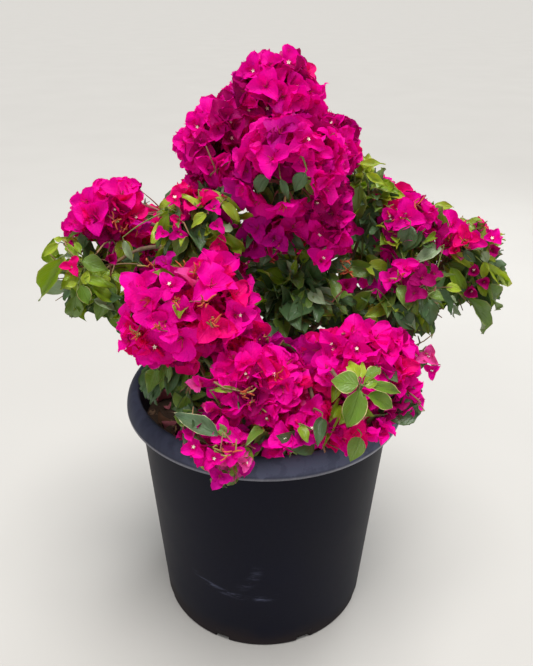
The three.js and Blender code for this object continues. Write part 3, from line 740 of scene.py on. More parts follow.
class Mass:
    def __init__(self, index, row):
        self.index = index
        self.name, at, reach, self.grows, self.fork, self.arch, self.shoots = row[:7]
        self.bloom, self.kind, self.young, self.row = row[7:]
        self.at, self.reach = np.array(at) * mm, np.array(reach) * mm * growth["fullness"]
        self.more, self.spacing, self.scale, self.seenScale, self.tints = blooming[self.row]
        self.flowers, self.nodes, self.waiting = [], [], []

    def share(self, places):
        # how far out from the middle, as a share of the reach
        return np.linalg.norm((places - self.at) / self.reach, axis=-1)

    def roomFor(self, at, spacing):
        return not self.flowers or np.linalg.norm(np.array(self.flowers) - at, axis=1).min() > spacing


masses = [Mass(index, row) for index, row in enumerate(crown)]
allAt = np.array([m.at for m in masses])
allReach = np.array([m.reach for m in masses])


def seeded(seed):
    # the source's random numbers from 0 to 1
    state, cut = seed, 0xFFFFFFFF

    def draw():
        nonlocal state
        state = (state + 0x6D2B79F5) & cut
        mixed = ((state ^ (state >> 15)) * (state | 1)) & cut
        mixed ^= (mixed + (((mixed ^ (mixed >> 7)) * (mixed | 61)) & cut)) & cut
        return (mixed ^ (mixed >> 14)) / 4294967296
    return draw


def owned(mass, places):
    # whether each place is in a mass's own space, with a little give where two masses meet
    shares = np.linalg.norm((places[:, None] - allAt) / allReach, axis=2)
    own = shares[:, mass.index].copy()
    shares[:, mass.index] = 9
    give = growth["upperBorder" if mass.row == "upper" else "border"]
    return (own <= growth["overhang"]) & (shares.min(1) > own - give)


def freeShare(mass, way):
    # the first share of the reach, from outside in, that the mass has to itself
    steps = np.arange(1, 0.04, -0.04)
    free = owned(mass, mass.at + way * mass.reach * steps[:, None])
    return steps[np.argmax(free)] if free.any() else 0.04


def evenWay(i, count, random):
    z = 1 - 2 * (i + 0.5) / count
    angle = i * golden + (random() - 0.5) * 0.25
    flat = math.sqrt(1 - z * z)
    return vec(flat * math.cos(angle), flat * math.sin(angle), z)


# pot

pot = dict(
    # sizes as in the part's source
    height=0.416, baseRadius=0.179, bodyTopRadius=0.2065, bodyTop=0.400, lipRadius=0.225,
    lipHeight=0.387, wall=0.003, floor=0.004, drains=8, drainWidth=0.024, drainDepth=0.022,
    drainHeight=0.009,
    # roundness
    sides=168, rimSteps=12, edge=0.004, axis=0.0005,
    # black plastic; dust with a painted sheen on the rim; a painted highlight, over a little wear, along the
    # lip's edge; soil splashed on the foot; and dust with a painted brown reflection of the ground on the
    # left side
    black=(linear(3, 3, 14), linear(10, 11, 28)), dustAndSheen=linear(92, 96, 118), lipHighlight=linear(158, 158, 168),
    splash=linear(54, 44, 40), dustAndReflection=linear(62, 46, 40), specular=0.09,
    # scuffs low on the front: middle across and up, radius, half width, from and to across, strength
    scuffs=((-0.02, 0.30, 0.182, 0.009, -0.12, 0.03, 0.8), (-0.06, 0.19, 0.052, 0.014, -0.05, 0.01, 0.45)),
)
clear = dict(  # room that leafage leaves round the rim, the wall and the soil
    rim=0.38, out=0.002, over=0.004, inside=0.003, soil=0.356, soilOut=0.02,
)


def innerRadius(z):
    return pot["baseRadius"] + (pot["bodyTopRadius"] - pot["baseRadius"]) / pot["bodyTop"] * z - pot["wall"]


def clearOfPot(places):
    # whether all places are above the soil and out of the wall and rim
    radius, z = np.hypot(places[:, 0], places[:, 1]), places[:, 2]
    outer = np.where(z > clear["rim"], pot["lipRadius"] + clear["out"], pot["bodyTopRadius"] + clear["over"])
    beside = (radius > innerRadius(z) - clear["inside"]) & (radius < outer)
    inWall = (z < pot["height"] + clear["out"]) & beside
    inSoil = (z < clear["soil"]) & (radius < pot["baseRadius"] + clear["soilOut"])
    return not (inWall | inSoil).any()


def potProfile():
    # from the middle of the underside, out and over the rim, back to the middle of the floor
    base, edge, top, axis = pot["baseRadius"], pot["edge"], pot["height"], pot["axis"]
    mouth = innerRadius(top) + pot["wall"]

    def rolled(inset):
        across, down = pot["lipRadius"] - mouth - inset, top - pot["lipHeight"] - inset
        turns = [k / pot["rimSteps"] * math.pi / 2 for k in range(pot["rimSteps"] + 1)]
        return [(mouth + across * math.sin(t), pot["lipHeight"] + down * math.cos(t)) for t in turns]
    turns = np.linspace(0, math.pi / 2, 5)
    foot = [(base - edge * (1 - math.sin(t)), edge * (1 - math.cos(t))) for t in turns]
    body = [
        (base + (pot["bodyTopRadius"] - base) * t, edge + (pot["bodyTop"] - edge) * t)
        for t in np.linspace(0, 1, 22)[1:]
    ]
    inner = [(innerRadius(z), z) for z in np.linspace(pot["bodyTop"], pot["floor"] + edge, 8)]
    return (
        [(axis, 0)] + foot + body + rolled(pot["wall"])[1:] + rolled(0)[::-1]
        + [(innerRadius(top), top - pot["wall"] / 2)] + inner
        + [(innerRadius(0) - edge, pot["floor"]), (axis, pot["floor"])]
    )


def potFinish():
    finish = Finish("black_pot_plastic")
    where = finish.coordinates()
    x, y, z = finish.axes(where)
    radius = finish.maths("SQRT", x * x + y * y)
    mottle = finish.noise(where, 9.0, 4.0, 0.6)
    speck = finish.noise(where, 260.0, 3.0, 0.7)
    streak = finish.noise(finish.stretched(where, (60, 60, 2.5)), 1.0, 3.0, 0.6)
    patch = finish.band(finish.noise(where, 34.0, 4.0, 0.65), 0.42, 0.62)

    def arc(atX, atZ, middle, half, fromX, toX, strength):
        # a worn ring about a point of the front, only between two places across
        ring = finish.maths("SQRT", (x - atX) * (x - atX) + (z - atZ) * (z - atZ))
        line = finish.band(ring, middle - half, middle) * finish.band(ring, middle + half, middle)
        return line * finish.band(x, fromX, fromX + 0.03) * finish.band(x, toX, toX - 0.03) * strength
    # scuffs where the pot has been dragged
    broken = finish.band(finish.noise(finish.stretched(where, (25, 25, 130)), 1.0, 4.0, 0.7), 0.44, 0.64)
    scuff = arc(*pot["scuffs"][0]) + arc(*pot["scuffs"][1])
    scuff = scuff * broken * finish.band(y, 0.02, -0.12) * finish.band(z, 0.2, 0.17)
    # pale dust with a painted sheen on the rolled rim, paler on the front; a painted highlight along its lip,
    # brighter on the right; soil splashed up from the ground on the foot; and dust with a painted brown
    # reflection of the ground low on the left side
    rim = finish.band(z, 0.386, 0.396) * finish.band(radius, 0.2, 0.208)
    lip = finish.band(z, 0.3925, 0.3885) * finish.band(radius, 0.2215, 0.2235)
    splash = finish.band(z + mottle * 0.06, 0.075, 0.03) * 0.5
    # a painted brown reflection of the ground, with some dust, low on the left side
    dustAndReflection = finish.band(x + mottle * 0.06, -0.12, -0.18) * finish.band(z, 0.40, 0.30) * 0.3
    # on the rolled rim, dust together with a painted sheen, paler on the front
    facing = finish.band(x, -0.16, 0.0) * finish.band(y, 0.0, -0.15)
    rimDustAndSheen = rim * (0.08 + streak * 0.28 + facing * (0.56 + patch * 0.8))
    dustAndSheen = finish.limit(rimDustAndSheen + scuff * 0.8 + speck * 0.04)
    # painted highlight, over a little wear, along the lip's lower edge, brighter on the right
    lipHighlight = lip * (0.25 + speck * 0.5 + finish.band(x, 0.06, 0.16) * 0.4)
    colour = finish.mix(mottle, *pot["black"])
    for mask, over in ((dustAndSheen, "dustAndSheen"), (lipHighlight, "lipHighlight"), (splash, "splash"), (dustAndReflection, "dustAndReflection")):
        colour = finish.mix(mask, colour, pot[over])
    return finish.done(finish.principled(
        Base_Color=colour, Roughness=finish.limit(0.42 + mottle * 0.16 + dustAndSheen * 0.3 + splash * 0.3),
        Specular_IOR_Level=pot["specular"],
        Normal=finish.bump(speck * 0.5 + streak * 0.3 + scuff * 0.6, 0.25, 0.0006),
    ))


def turnedMesh(profile, sides):
    outline, turn = np.array(profile), np.arange(sides) * math.tau / sides
    points = np.stack((
        outline[:, :1] * np.cos(turn), outline[:, :1] * np.sin(turn), np.repeat(outline[:, 1:], sides, 1),
    ), -1).reshape(-1, 3)
    return points, ringFaces(len(outline), sides)


boxFaces = np.array(((0, 2, 3, 1), (4, 5, 7, 6), (0, 1, 5, 4), (2, 6, 7, 3), (0, 4, 6, 2), (1, 3, 7, 5)))


def makePot():
    points, faces = turnedMesh(potProfile(), pot["sides"])
    piece = meshPiece("nursery_pot", points, faces, [potFinish()])
    # drain slots through the foot, cut with small blocks
    half = np.array((pot["drainDepth"] / 2, pot["drainWidth"] / 2, pot["drainHeight"]))
    corners = np.array([(a, b, c) for c in (-1, 1) for b in (-1, 1) for a in (-1, 1)]) * half
    corners[:, 0] += pot["baseRadius"]
    blocks = []
    for i in range(pot["drains"]):
        angle = (i + 0.5) / pot["drains"] * math.tau
        cos, sin = math.cos(angle), math.sin(angle)
        blocks.extend((x * cos - y * sin, x * sin + y * cos, z) for x, y, z in corners.tolist())
    cutter = bpy.data.meshes.new("cutter")
    cutter.from_pydata(blocks, [], np.concatenate([boxFaces + 8 * i for i in range(pot["drains"])]).tolist())
    block = bpy.data.objects.new("cutter", cutter)
    scene.collection.objects.link(block)
    cut = piece.modifiers.new("slots", "BOOLEAN")
    cut.operation, cut.object, cut.solver = "DIFFERENCE", block, "EXACT"
    bpy.context.view_layer.update()
    done = bpy.data.meshes.new_from_object(piece.evaluated_get(bpy.context.evaluated_depsgraph_get()))
    piece.modifiers.clear()
    piece.data = done
    bpy.data.objects.remove(block)
    print("nursery_pot", len(done.polygons), "faces")
    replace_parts(piece, "pot")


# soil

soil = dict(
    rings=64, turns=150, edge=0.344, flat=0.06, top=0.350, hollow=(0.110, 0.348), mound=(0.160, 0.353),
    lumps=((45, 3, 0.0022), (150, 7, 0.0016)),  # how fine, seed, height
    calm=0.012, gap=0.0006,  # flat beside the wall, and clear of it
    dark=(linear(26, 20, 17), linear(74, 56, 43)), bits=linear(112, 88, 68),
)


def soilHeight(radius):
    stops = [0, soil["flat"], soil["hollow"][0], soil["mound"][0], innerRadius(soil["edge"])]
    heights = [soil["top"], soil["top"], soil["hollow"][1], soil["mound"][1], soil["edge"]]
    return np.interp(radius, stops, heights)


def soilFinish():
    finish = Finish("potting_soil")
    where = finish.coordinates()
    crumbs = finish.noise(where, 120.0, 6.0, 0.7)
    chips = finish.noise(finish.stretched(where, (1, 1, 3)), 55.0, 3.0, 0.5, 1.2)
    dark = finish.mix(crumbs, *soil["dark"])
    return finish.done(finish.principled(
        Base_Color=finish.mix(finish.band(chips, 0.58, 0.68), dark, soil["bits"]),
        Roughness=finish.limit(0.78 + finish.noise(where, 12.0, 2.0) * 0.3), Specular_IOR_Level=0.2,
        Normal=finish.bump(crumbs + chips * 0.6, 0.9, 0.003),
    ))


def makeSoil():
    outer = innerRadius(soil["edge"]) - soil["gap"]
    radii = outer * (np.arange(soil["rings"] + 1) / soil["rings"]) ** 0.8
    radii[0] = 0.0004
    points = []
    for radius in radii:
        calm = 1 - ease(outer - soil["calm"], outer, radius)
        for angle in np.arange(soil["turns"]) * math.tau / soil["turns"]:
            x, y = radius * math.cos(angle), radius * math.sin(angle)
            lump = sum(noise.noise((x * fine, y * fine, seed)) * high for fine, seed, high in soil["lumps"])
            points.append((x, y, soilHeight(radius) + lump * calm + soil["gap"]))
    faces = np.roll(ringFaces(len(radii), soil["turns"])[:, ::-1], 1, 1)
    piece = meshPiece("soil_surface", np.array(points), faces, [soilFinish()])
    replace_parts(piece, "soil")
    print("soil_surface", len(piece.data.polygons), "faces")


# trunk and boughs

trunk = dict(
    foot=0.019, fork=0.0125, height=0.092, lean=(0.009, -0.006), rings=34, sides=26,
    flare=0.45, lobes=5, lobeDepth=0.16, relief=0.16,
)
bough = dict(
    fromTrunk=0.0062, fromBough=0.0042, tip=0.0024, rings=18, sides=10, knot=0.14, knots=31, relief=0.2,
    bend=0.45,
)
bark = dict(brown=(linear(66, 52, 42), linear(142, 120, 96)), grey=linear(150, 142, 128))
twigSize = dict(stem=0.0026, root=0.0014, tip=0.0007, side=0.0006, sides=4, points=6)

trunkFoot = vec(0, 0, soil["top"] + growth["clearance"])
trunkBend = vec(0, 0, soil["top"] + trunk["height"] / 2)
trunkTop = vec(*trunk["lean"], soil["top"] + trunk["height"])
limbPaths = {"trunk": (trunkFoot, trunkBend, trunkTop)}


def planBough(mass):
    a, b, c = limbPaths[mass.grows]
    root = bezier(a, b, c, [mass.fork])[0]
    if mass.fork == 1:
        root = root + unit(c - b) * growth["clearance"]
    way = mass.at - root
    way[2] -= mass.arch * np.linalg.norm(way)
    mass.heading = unit(way)
    mass.through = mass.heading * mass.reach
    mass.entry = mass.at - mass.through * growth["entry"]
    bend = mass.entry - unit(mass.through) * bough["bend"] * np.linalg.norm(mass.entry - root)
    limbPaths[mass.name] = (root, bend, mass.entry)


def barkFinish():
    finish = Finish("bark")
    where = finish.coordinates()
    ridge = finish.noise(finish.stretched(where, (140, 140, 26)), 1.0, 5.0, 0.65, 0.4)
    fine = finish.noise(where, 420.0, 4.0, 0.7)
    blotch = finish.band(finish.noise(where, 38.0, 3.0), 0.52, 0.72) * 0.55
    return finish.done(finish.principled(
        Base_Color=finish.mix(blotch, finish.mix(ridge, *bark["brown"]), bark["grey"]),
        Roughness=finish.limit(0.72 + fine * 0.25), Specular_IOR_Level=0.25,
        Normal=finish.bump(ridge + fine * 0.35, 0.8, 0.0016),
    ))


def sweep(path, radii, sides, relief, seed):
    # a limb whose surface stands in ridges and lumps, as points and faces
    points = []
    for i, (side, third) in enumerate(ringWays(path)):
        for angle in np.arange(sides) * math.tau / sides:
            out = math.cos(angle) * side + math.sin(angle) * third
            radius = radii(i / (len(path) - 1), angle)
            at = path[i] + out * radius
            lump = noise.noise((at[0] * 90 + seed, at[1] * 90, at[2] * 28))
            points.append(path[i] + out * radius * (1 + relief * lump))
    return np.array(points), ringFaces(len(path), sides)


def trunkRadius(share, angle):
    flare = 1 + trunk["flare"] * math.exp(-6 * share)
    lobe = 1 + trunk["lobeDepth"] * math.cos(trunk["lobes"] * angle) * math.exp(-5 * share)
    rounded = 1 - 0.45 * ease(0.94, 1, share)
    return (trunk["foot"] + (trunk["fork"] - trunk["foot"]) * share) * flare * lobe * rounded


def makeLimbs():
    shares = np.linspace(0, 1, trunk["rings"])
    meshes = [sweep(bezier(*limbPaths["trunk"], shares), trunkRadius, trunk["sides"], trunk["relief"], 0)]
    for mass in masses:
        thick = bough["fromTrunk"] if mass.grows == "trunk" else bough["fromBough"]
        path = bezier(*limbPaths[mass.name], np.linspace(0, 1, bough["rings"]))

        def radius(share, angle, thick=thick, seed=mass.index):
            knot = bough["knot"] * max(0, math.cos(share * bough["knots"] + seed)) ** 6
            return (thick + (bough["tip"] - thick) * share) * (1 + knot)
        meshes.append(sweep(path, radius, bough["sides"], bough["relief"], mass.index + 1))
    starts = np.cumsum([0] + [len(points) for points, _ in meshes])
    points = np.concatenate([points for points, _ in meshes])
    faces = np.concatenate([faces + start for (_, faces), start in zip(meshes, starts)])
    piece = meshPiece("trunk_and_boughs", points, faces, [barkFinish()])
    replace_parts(piece, "trunk", *[f"bough_to_{mass.name}" for mass in masses])
    print("trunk_and_boughs", len(piece.data.polygons), "faces")


# flowers, leaves and twigs

bractTints = [  # face, and light through it
    ("bracts_hot", linear(250, 2, 172), linear(255, 2, 170)),
    ("bracts_magenta", linear(236, 2, 160), linear(250, 2, 154)),
    ("bracts_rose", linear(242, 6, 130), linear(255, 6, 116)),
    # the purple and deep tints are darker copies of the magenta: painted shade for hollows, inner flowers and
    # masses in shade
    ("bracts_purple", linear(198, 4, 146), linear(222, 4, 146)),
    ("bracts_deep", linear(166, 2, 104), linear(196, 2, 100)),
    ("bracts_pale", linear(246, 84, 180), linear(255, 96, 170)),
]
leafTints = [  # face, light through it, and rim
    ("leaves_dark", linear(76, 104, 66), linear(100, 136, 44), linear(78, 98, 56)),
    ("leaves_green", linear(104, 134, 54), linear(128, 160, 34), linear(138, 148, 82)),
    ("leaves_fresh", linear(124, 154, 30), linear(158, 192, 16), linear(168, 176, 76)),
    ("leaves_lime", linear(158, 180, 44), linear(178, 202, 30), linear(196, 190, 84)),
    # pale grey-green leaves: a painted sheen of the sky
    ("leaves_pale", linear(142, 162, 124), linear(154, 178, 96), linear(180, 186, 150)),
    ("leaves_rimmed", linear(104, 140, 44), linear(130, 168, 24), linear(224, 208, 146)),
    ("leaves_grey", linear(86, 112, 80), linear(104, 134, 60), linear(206, 204, 160)),
]
tubeTints = [("tubes_rosy", linear(186, 60, 84), 0.55), ("tubes_withered", linear(198, 94, 62), 0.7),
             ("tubes_dry", linear(150, 138, 74), 0.7)]
twigTints = [("twigs_brown", linear(140, 112, 82), 0.7), ("twigs_rosy", linear(150, 92, 84), 0.6),
             ("twigs_green", linear(110, 126, 62), 0.5)]
flower = dict(
    length=(0.037, 0.045), width=0.46, opening=(40, 74), apart=2.0944, heart=0.4, gap=0.0012, offset=0.015,
    tube=0.017, tubeRadius=0.0011, tubeSides=4, star=0.0032, starShare=0.1, inner=0.8,
    budShare=0.08, budSize=0.62, budOpening=(10, 20), seenBud=(16, 26), seenOpening=(50, 70),
    withered={"left_front_blooms": 0.5, "front_left_blooms": 0.25, "right_outer_leaves": 0.3,
              "right_upper_blooms": 0.2},
    usually=0.02,
)
spray = dict(
    flowers=(2, 4), lean=(0.7, 1.15), sameTint=0.8, dryTubes=7,
    tries=((1, 1), (1, 0), (0.92, -0.6), (0.82, 0), (0.7, -0.6)),  # size, and way out from the tip
)
dryTube = dict(
    apart=0.0028, lean=0.55, length=(0.009, 0.016), bend=0.0012, radii=(0.0008, 0.0012, 0.0006),
    dryShare=0.3,
)
leaf = dict(
    length=(0.030, 0.058), width=(0.23, 0.34), widest=0.45, petiole=0.009 / 0.055, perTwig=(3, 5),
    young=(0.018, 0.032), tries=(1, 0.85, 0.7, 0.55),
    along=0.7, turn=2.4, sway=0.4, endSpread=0.3, spread=(0.8, 1.3), droop=(0.1, 0.55), tilt=0.42,
)
deep = dict(  # flowers in the purple and deep tints, painted shade, and old leaves inside
    flower=0.8, opening=60, room=0.012, leaf=(0.045, 0.062), shares=(0.05, 0.5),
)
gaps = dict(
    down=(52, 470), across=(40, 520), step=6, enough=1, hides=0.34,  # pixels, and how much a blade hides
    length=(0.036, 0.052), width=0.28, flowers=(0.8, 0.6, 0.45), opening=1.08, room=0.01,
    behind=0.45, edge=0.85,
)

bracts = Sheaf(*bladeShapes(bractShape, seeds["bracts"])[:3])
leaves = Sheaf(*bladeShapes(leafShape, seeds["leaves"]))
stars = Sheaf(*starShape())
tubes = Canes(flower["tubeSides"])
twigs = Canes(twigSize["sides"])


def pickTint(shares, random):
    return int(np.searchsorted(np.cumsum(shares), random.random() * 0.999))


def onRing(angle, side, third):
    return math.cos(angle) * side + math.sin(angle) * third


def addFlower(mass, base, axis, size, opening, tint, random, withered=False, spacing=None, loose=False):
    # three papery bracts round three slender tubes, kept to the mass's own space; loose ones, seen
    # in the photo, are kept to the outline alone, and fillers also to where it has flowers
    side, third = squareTo(axis, vec(0.3, 0.2, 0.9) if abs(axis[2]) < 0.8 else vec(1, 0.2, 0))
    spin = random.random() * math.tau
    length = random.uniform(*flower["length"]) * size
    outs = [onRing(spin + k * flower["apart"], side, third) for k in range(3)]
    angles = [opening * random.uniform(0.8, 1.2) for _ in outs]
    ways = [unit(axis * math.cos(a) + out * math.sin(a)) for out, a in zip(outs, angles)]
    tips = np.array([base + way * length for way in ways])
    places = np.vstack((tips, base))
    heart = base + axis * length * flower["heart"]
    if not (mass.roomFor(heart, spacing or mass.spacing) and clearOfPot(places)):
        return False
    if loose:
        inner = base + (tips - base) * flower["inner"]
        if mass.share(tips).max() > growth["farthest"] or not inOutline(toPixel(inner)).all():
            return False
        if loose == "filler" and not shows(inner, True):
            return False
    elif not (owned(mass, tips).all() and shows(places, True)):
        return False
    elif mass.row == "upper" and heart[1] < mass.at[1] and mass.share(heart) > growth["hollow"]:
        if inSpots(toPixel(heart[None]), hollowSpots):
            return False
    mass.flowers.append(heart)
    for out, way, a in zip(outs, ways, angles):
        normal = unit(axis * math.sin(a) - out * math.cos(a))
        wide = length * flower["width"] * random.uniform(0.88, 1.12)
        long = length * random.uniform(0.94, 1.08)
        start, across = base + out * flower["gap"], np.cross(way, normal)
        bracts.add(start, across, way, normal, wide, long, int(random.integers(99)), tint, mass.name)
        tubeWay = unit(axis + out * random.uniform(0.25, 0.5))
        mouth = base + tubeWay * flower["tube"] * size * random.uniform(0.8, 1.15)
        middle = (base + mouth) / 2 + out * flower["gap"] / 2
        thick = flower["tubeRadius"] * size
        radii = (thick * 0.9, thick, thick * 0.7)
        tubes.add(np.array((base, middle, mouth)), radii, 1 if withered else 0, mass.name)
        if random.random() < flower["starShare"] and not withered:
            across, other = squareTo(tubeWay, out)
            wide = flower["star"] * random.uniform(0.7, 1.1)
            stars.add(mouth, across, other, tubeWay, wide, wide, 0, 0, mass.name)
    return True


def bloomSpray(mass, tip, facing, random):
    tint = pickTint(mass.tints, random)
    count = int(random.integers(spray["flowers"][0], spray["flowers"][1] + 1))
    side, third = squareTo(facing, vec(0.2, 0.9, 0.3))
    spin, made = random.random() * 6.28, 0
    withered = random.random() < flower["withered"].get(mass.name, flower["usually"])
    if mass.kind == "sprig":
        count, tint = 1, 5
    for k in range(count):
        angle = spin + k * math.tau / max(count - 1, 1)
        lean = 0 if k == 0 else random.uniform(*spray["lean"])
        axis = unit(facing + onRing(angle, side, third) * lean + random.normal(0, 0.12, 3))
        own = tint if random.random() < spray["sameTint"] else pickTint(mass.tints, random)
        bud = random.random() < flower["budShare"]
        opening = math.radians(random.uniform(*flower["budOpening" if bud else "opening"]))
        for size, offset in spray["tries"]:
            base = tip + axis * flower["offset"] * offset
            size *= mass.scale * (flower["budSize"] if bud else 1)
            if addFlower(mass, base, axis, size, opening, own, random, withered):
                path = bezier(tip - facing * 0.006, tip, base, (0, 0.5, 1))
                twigs.add(path, (twigSize["tip"], twigSize["side"], twigSize["side"]), 1, mass.name)
                made += 1
                break
    if withered and made:
        addBundle(mass, tip + facing * 0.008, facing, spray["dryTubes"], random)
    return made


def addBundle(mass, root, facing, count, random):
    # dry tubes in the middle of a spray
    for _ in range(count):
        start = root + random.normal(0, dryTube["apart"], 3)
        way = unit(facing + random.normal(0, dryTube["lean"], 3))
        end = start + way * random.uniform(*dryTube["length"])
        if owned(mass, end[None]).all() and shows(end[None], True):
            bend = (start + end) / 2 + random.normal(0, dryTube["bend"], 3)
            slot = 1 + int(random.random() < dryTube["dryShare"])
            tubes.add(np.array((start, bend, end)), dryTube["radii"], slot, mass.name)


def addLeaf(mass, root, way, face, length, tint, random, loose=False, half=None):
    way = unit(way)
    side = unit(np.cross(way, face))
    normal = np.cross(side, way)
    start = root + way * leaf["petiole"] * length
    half = half or length * random.uniform(*leaf["width"])
    middle, across = start + way * length * leaf["widest"], side * half
    places = np.array((start + way * length, middle + across, middle - across))
    if not clearOfPot(places) or not (loose or owned(mass, places).all() and shows(places, False)):
        return False
    half *= random.uniform(0.88, 1.14)
    leaves.add(start, side, way, normal, half, length, int(random.integers(99)), tint, mass.name)
    twigs.add(np.array((root, start)), (twigSize["side"] * 1.1, twigSize["side"]), 2, mass.name)
    return True


def leafTint(young, high, random):
    # mostly dark or green; young leaves, fresh or lime, stand far out and high up, and a few are pale with a
    # painted sheen of the sky
    chance = young * (0.35 + 0.8 * high)
    for tint, share in ((4, 0.08), (3, chance * 0.55), (2, chance), (1, 0.35 + 0.5 * chance)):
        if random.random() < share:
            return tint
    return 0


def leafySpray(mass, path, random, high, count=None):
    # leaves round the outer part of a twig, and often two small ones at its end
    count = count or int(random.integers(leaf["perTwig"][0], leaf["perTwig"][1] + 1))
    ahead, made = unit(path[-1] - path[-2]), 0
    side, third = squareTo(ahead, vec(0.1, -0.3, 1))
    for k in range(count):
        first = k == 0
        back = 1 - k * leaf["along"] / count
        at = path[-1] if first else path[max(0, int(round(back * (len(path) - 1))))]
        sway = leaf["sway"]
        turn = random.uniform(*anyAngle) if first else k * leaf["turn"] + random.uniform(-sway, sway)
        spread = leaf["endSpread"] if first else random.uniform(*leaf["spread"])
        way = unit(ahead + onRing(turn, side, third) * spread)
        way[2] -= random.uniform(*leaf["droop"])
        face = vec(0, -0.35, 0.8) + unit(path[-1] - mass.at) * 0.35 + random.normal(0, leaf["tilt"], 3)
        tint = leafTint(mass.young, high, random)
        for shrink in leaf["tries"]:
            if addLeaf(mass, at, way, face, random.uniform(*leaf["length"]) * shrink, tint, random):
                made += 1
                break
    if made and random.random() < 0.25 + mass.young * 0.6:
        tint = 3 if mass.young > 0.15 else 2
        for k in range(2):
            way = ahead + random.normal(0, 0.4, 3) + vec(0, 0, 0.25)
            addLeaf(mass, path[-1], way, vec(0, -0.3, 1), random.uniform(*leaf["young"]), tint, random)
    return made


def rootShare(mass, way, random):
    ahead = 0.5 + 0.5 * way.dot(mass.heading)
    return min(0.15 + 0.8 * ahead * (0.85 + 0.15 * random()), 0.96)


def taper(first, last):
    return np.linspace(first, last, twigSize["points"])


def reachTo(mass, at, slot, random):
    # a twig out to a place, from the mass's stem or from the nearest of its shoots
    way = unit((at - mass.at) / mass.reach)
    start, end = mass.stem
    root = start + (end - start) * rootShare(mass, way, random.random)
    if mass.nodes:
        nodes = np.array(mass.nodes)
        root = nodes[np.argmin(np.linalg.norm(nodes - at, axis=1))]
    middle = (root + at) / 2 + vec(0, 0, growth["rise"]) * np.linalg.norm(at - root)
    radii = taper(twigSize["root"], twigSize["tip"])
    twigs.add(bezier(root, middle, at, taper(0, 1)), radii, slot, mass.name)


def onMass(mass, x, y, share):
    # where the sight line through a pixel enters the mass's shape, drawn in to a share of its reach
    way = sightLine(x, y)
    a, b = way / mass.reach / share, (eye - mass.at) / mass.reach / share
    half, rest = a.dot(b) / a.dot(a), (b.dot(b) - 1) / a.dot(a)
    inside = half * half - rest
    return eye + way * (-half - math.sqrt(max(inside, 0)))


seen = dict(
    # shares of the reach tried for a flower, each with a size against the photo's, and for a leaf
    flowers=[(0.8, 1), (0.7, 1), (0.6, 1), (0.5, 1), (0.7, 0.85), (0.5, 0.85), (0.6, 0.7), (0.4, 0.7)],
    sparse=[(1, 1), (0.93, 1), (0.86, 1), (0.93, 0.8)],
    leaves=(0.88, 0.8, 0.7, 0.6, 0.5), stalk=0.94, twigs=0.84, tubes=0.86,
    room=0.014, deeper=0.012, bud=17,  # pixels across below which a flower is a bud
    budWidth=32, width=54, distance=0.98,  # of a full-size flower at that distance
    twigRadii=(0.0015, 0.0009), dryTubes=11,
)


def placeFlower(mass, x, y, width, tint, toEye, random):
    bud = width < seen["bud"]
    for share, shrink in ([] if mass.kind == "dense" else seen["sparse"]) + seen["flowers"]:
        at = onMass(mass, x, y, share)
        outward = unit((at - mass.at) / mass.reach)
        axis = unit(outward * 0.55 + toEye * 0.5 + vec(0, 0, 0.1) + random.normal(0, 0.1, 3))
        opening = math.radians(random.uniform(*flower["seenBud" if bud else "seenOpening"]))
        size = width / seen["budWidth" if bud else "width"] * np.linalg.norm(at - eye)
        size = size / seen["distance"] * shrink * mass.seenScale
        at = at - axis * seen["deeper"]
        if addFlower(mass, at, axis, size, opening, tint, random, False, seen["room"], True):
            mass.waiting.append((at, 1))
            return
    print("no room for the flower at", x, y, mass.name)


def placeLeaf(mass, x, y, tipX, tipY, width, tint, toEye, random):
    for share in seen["leaves"]:
        a, b = onMass(mass, x, y, share * seen["stalk"]), onMass(mass, tipX, tipY, share)
        length = np.linalg.norm(b - a)
        half = width / view["focal"] * np.linalg.norm(a - eye) / 2
        face = toEye + vec(0, 0, 0.4) + random.normal(0, 0.12, 3)
        root = a - unit(b - a) * leaf["petiole"] * length
        if addLeaf(mass, root, b - a, face, length, tint, random, True, half):
            mass.waiting.append((root, 2))
            return
    print("no room for the leaf at", x, y, mass.name)


def growSeen(mass, random):
    toEye = unit(eye - mass.at)
    for row in seenFlowers.get(mass.name, ()):
        placeFlower(mass, *row, toEye, random)
    for row in seenLeaves.get(mass.name, ()):
        placeLeaf(mass, *row, toEye, random)
    for pixels in seenTwigs.get(mass.name, ()):
        way = np.array([onMass(mass, *pixel, seen["twigs"]) for pixel in pixels])
        mass.waiting.append((way[0], 0))
        twigs.add(way, np.linspace(*seen["twigRadii"], len(way)), 0, mass.name)
    for pixel in seenTubes.get(mass.name, ()):
        root = onMass(mass, *pixel, seen["tubes"])
        mass.waiting.append((root, 1))
        facing = unit(toEye + unit((root - mass.at) / mass.reach) * 0.5)
        addBundle(mass, root, facing, seen["dryTubes"], random)


def reachSeen(mass, random):
    for at, slot in mass.waiting:
        reachTo(mass, at, slot, random)


shoot = dict(
    flowerFrom=0.46, flowerTo=1.08, lessBySize=0.34, leaves=(0.3, 0.8),  # shares of the free reach
    standOut=0.25, further=0.1,  # how many upper sprays stand out, and by how much
    bend=0.004, along=0.5, outward=0.7, chance=0.18,  # where a spray faces
    leafy=0.5, denseLeafy=0.02, youngLeafy=0.3,  # how many sprays have leaves below them
)


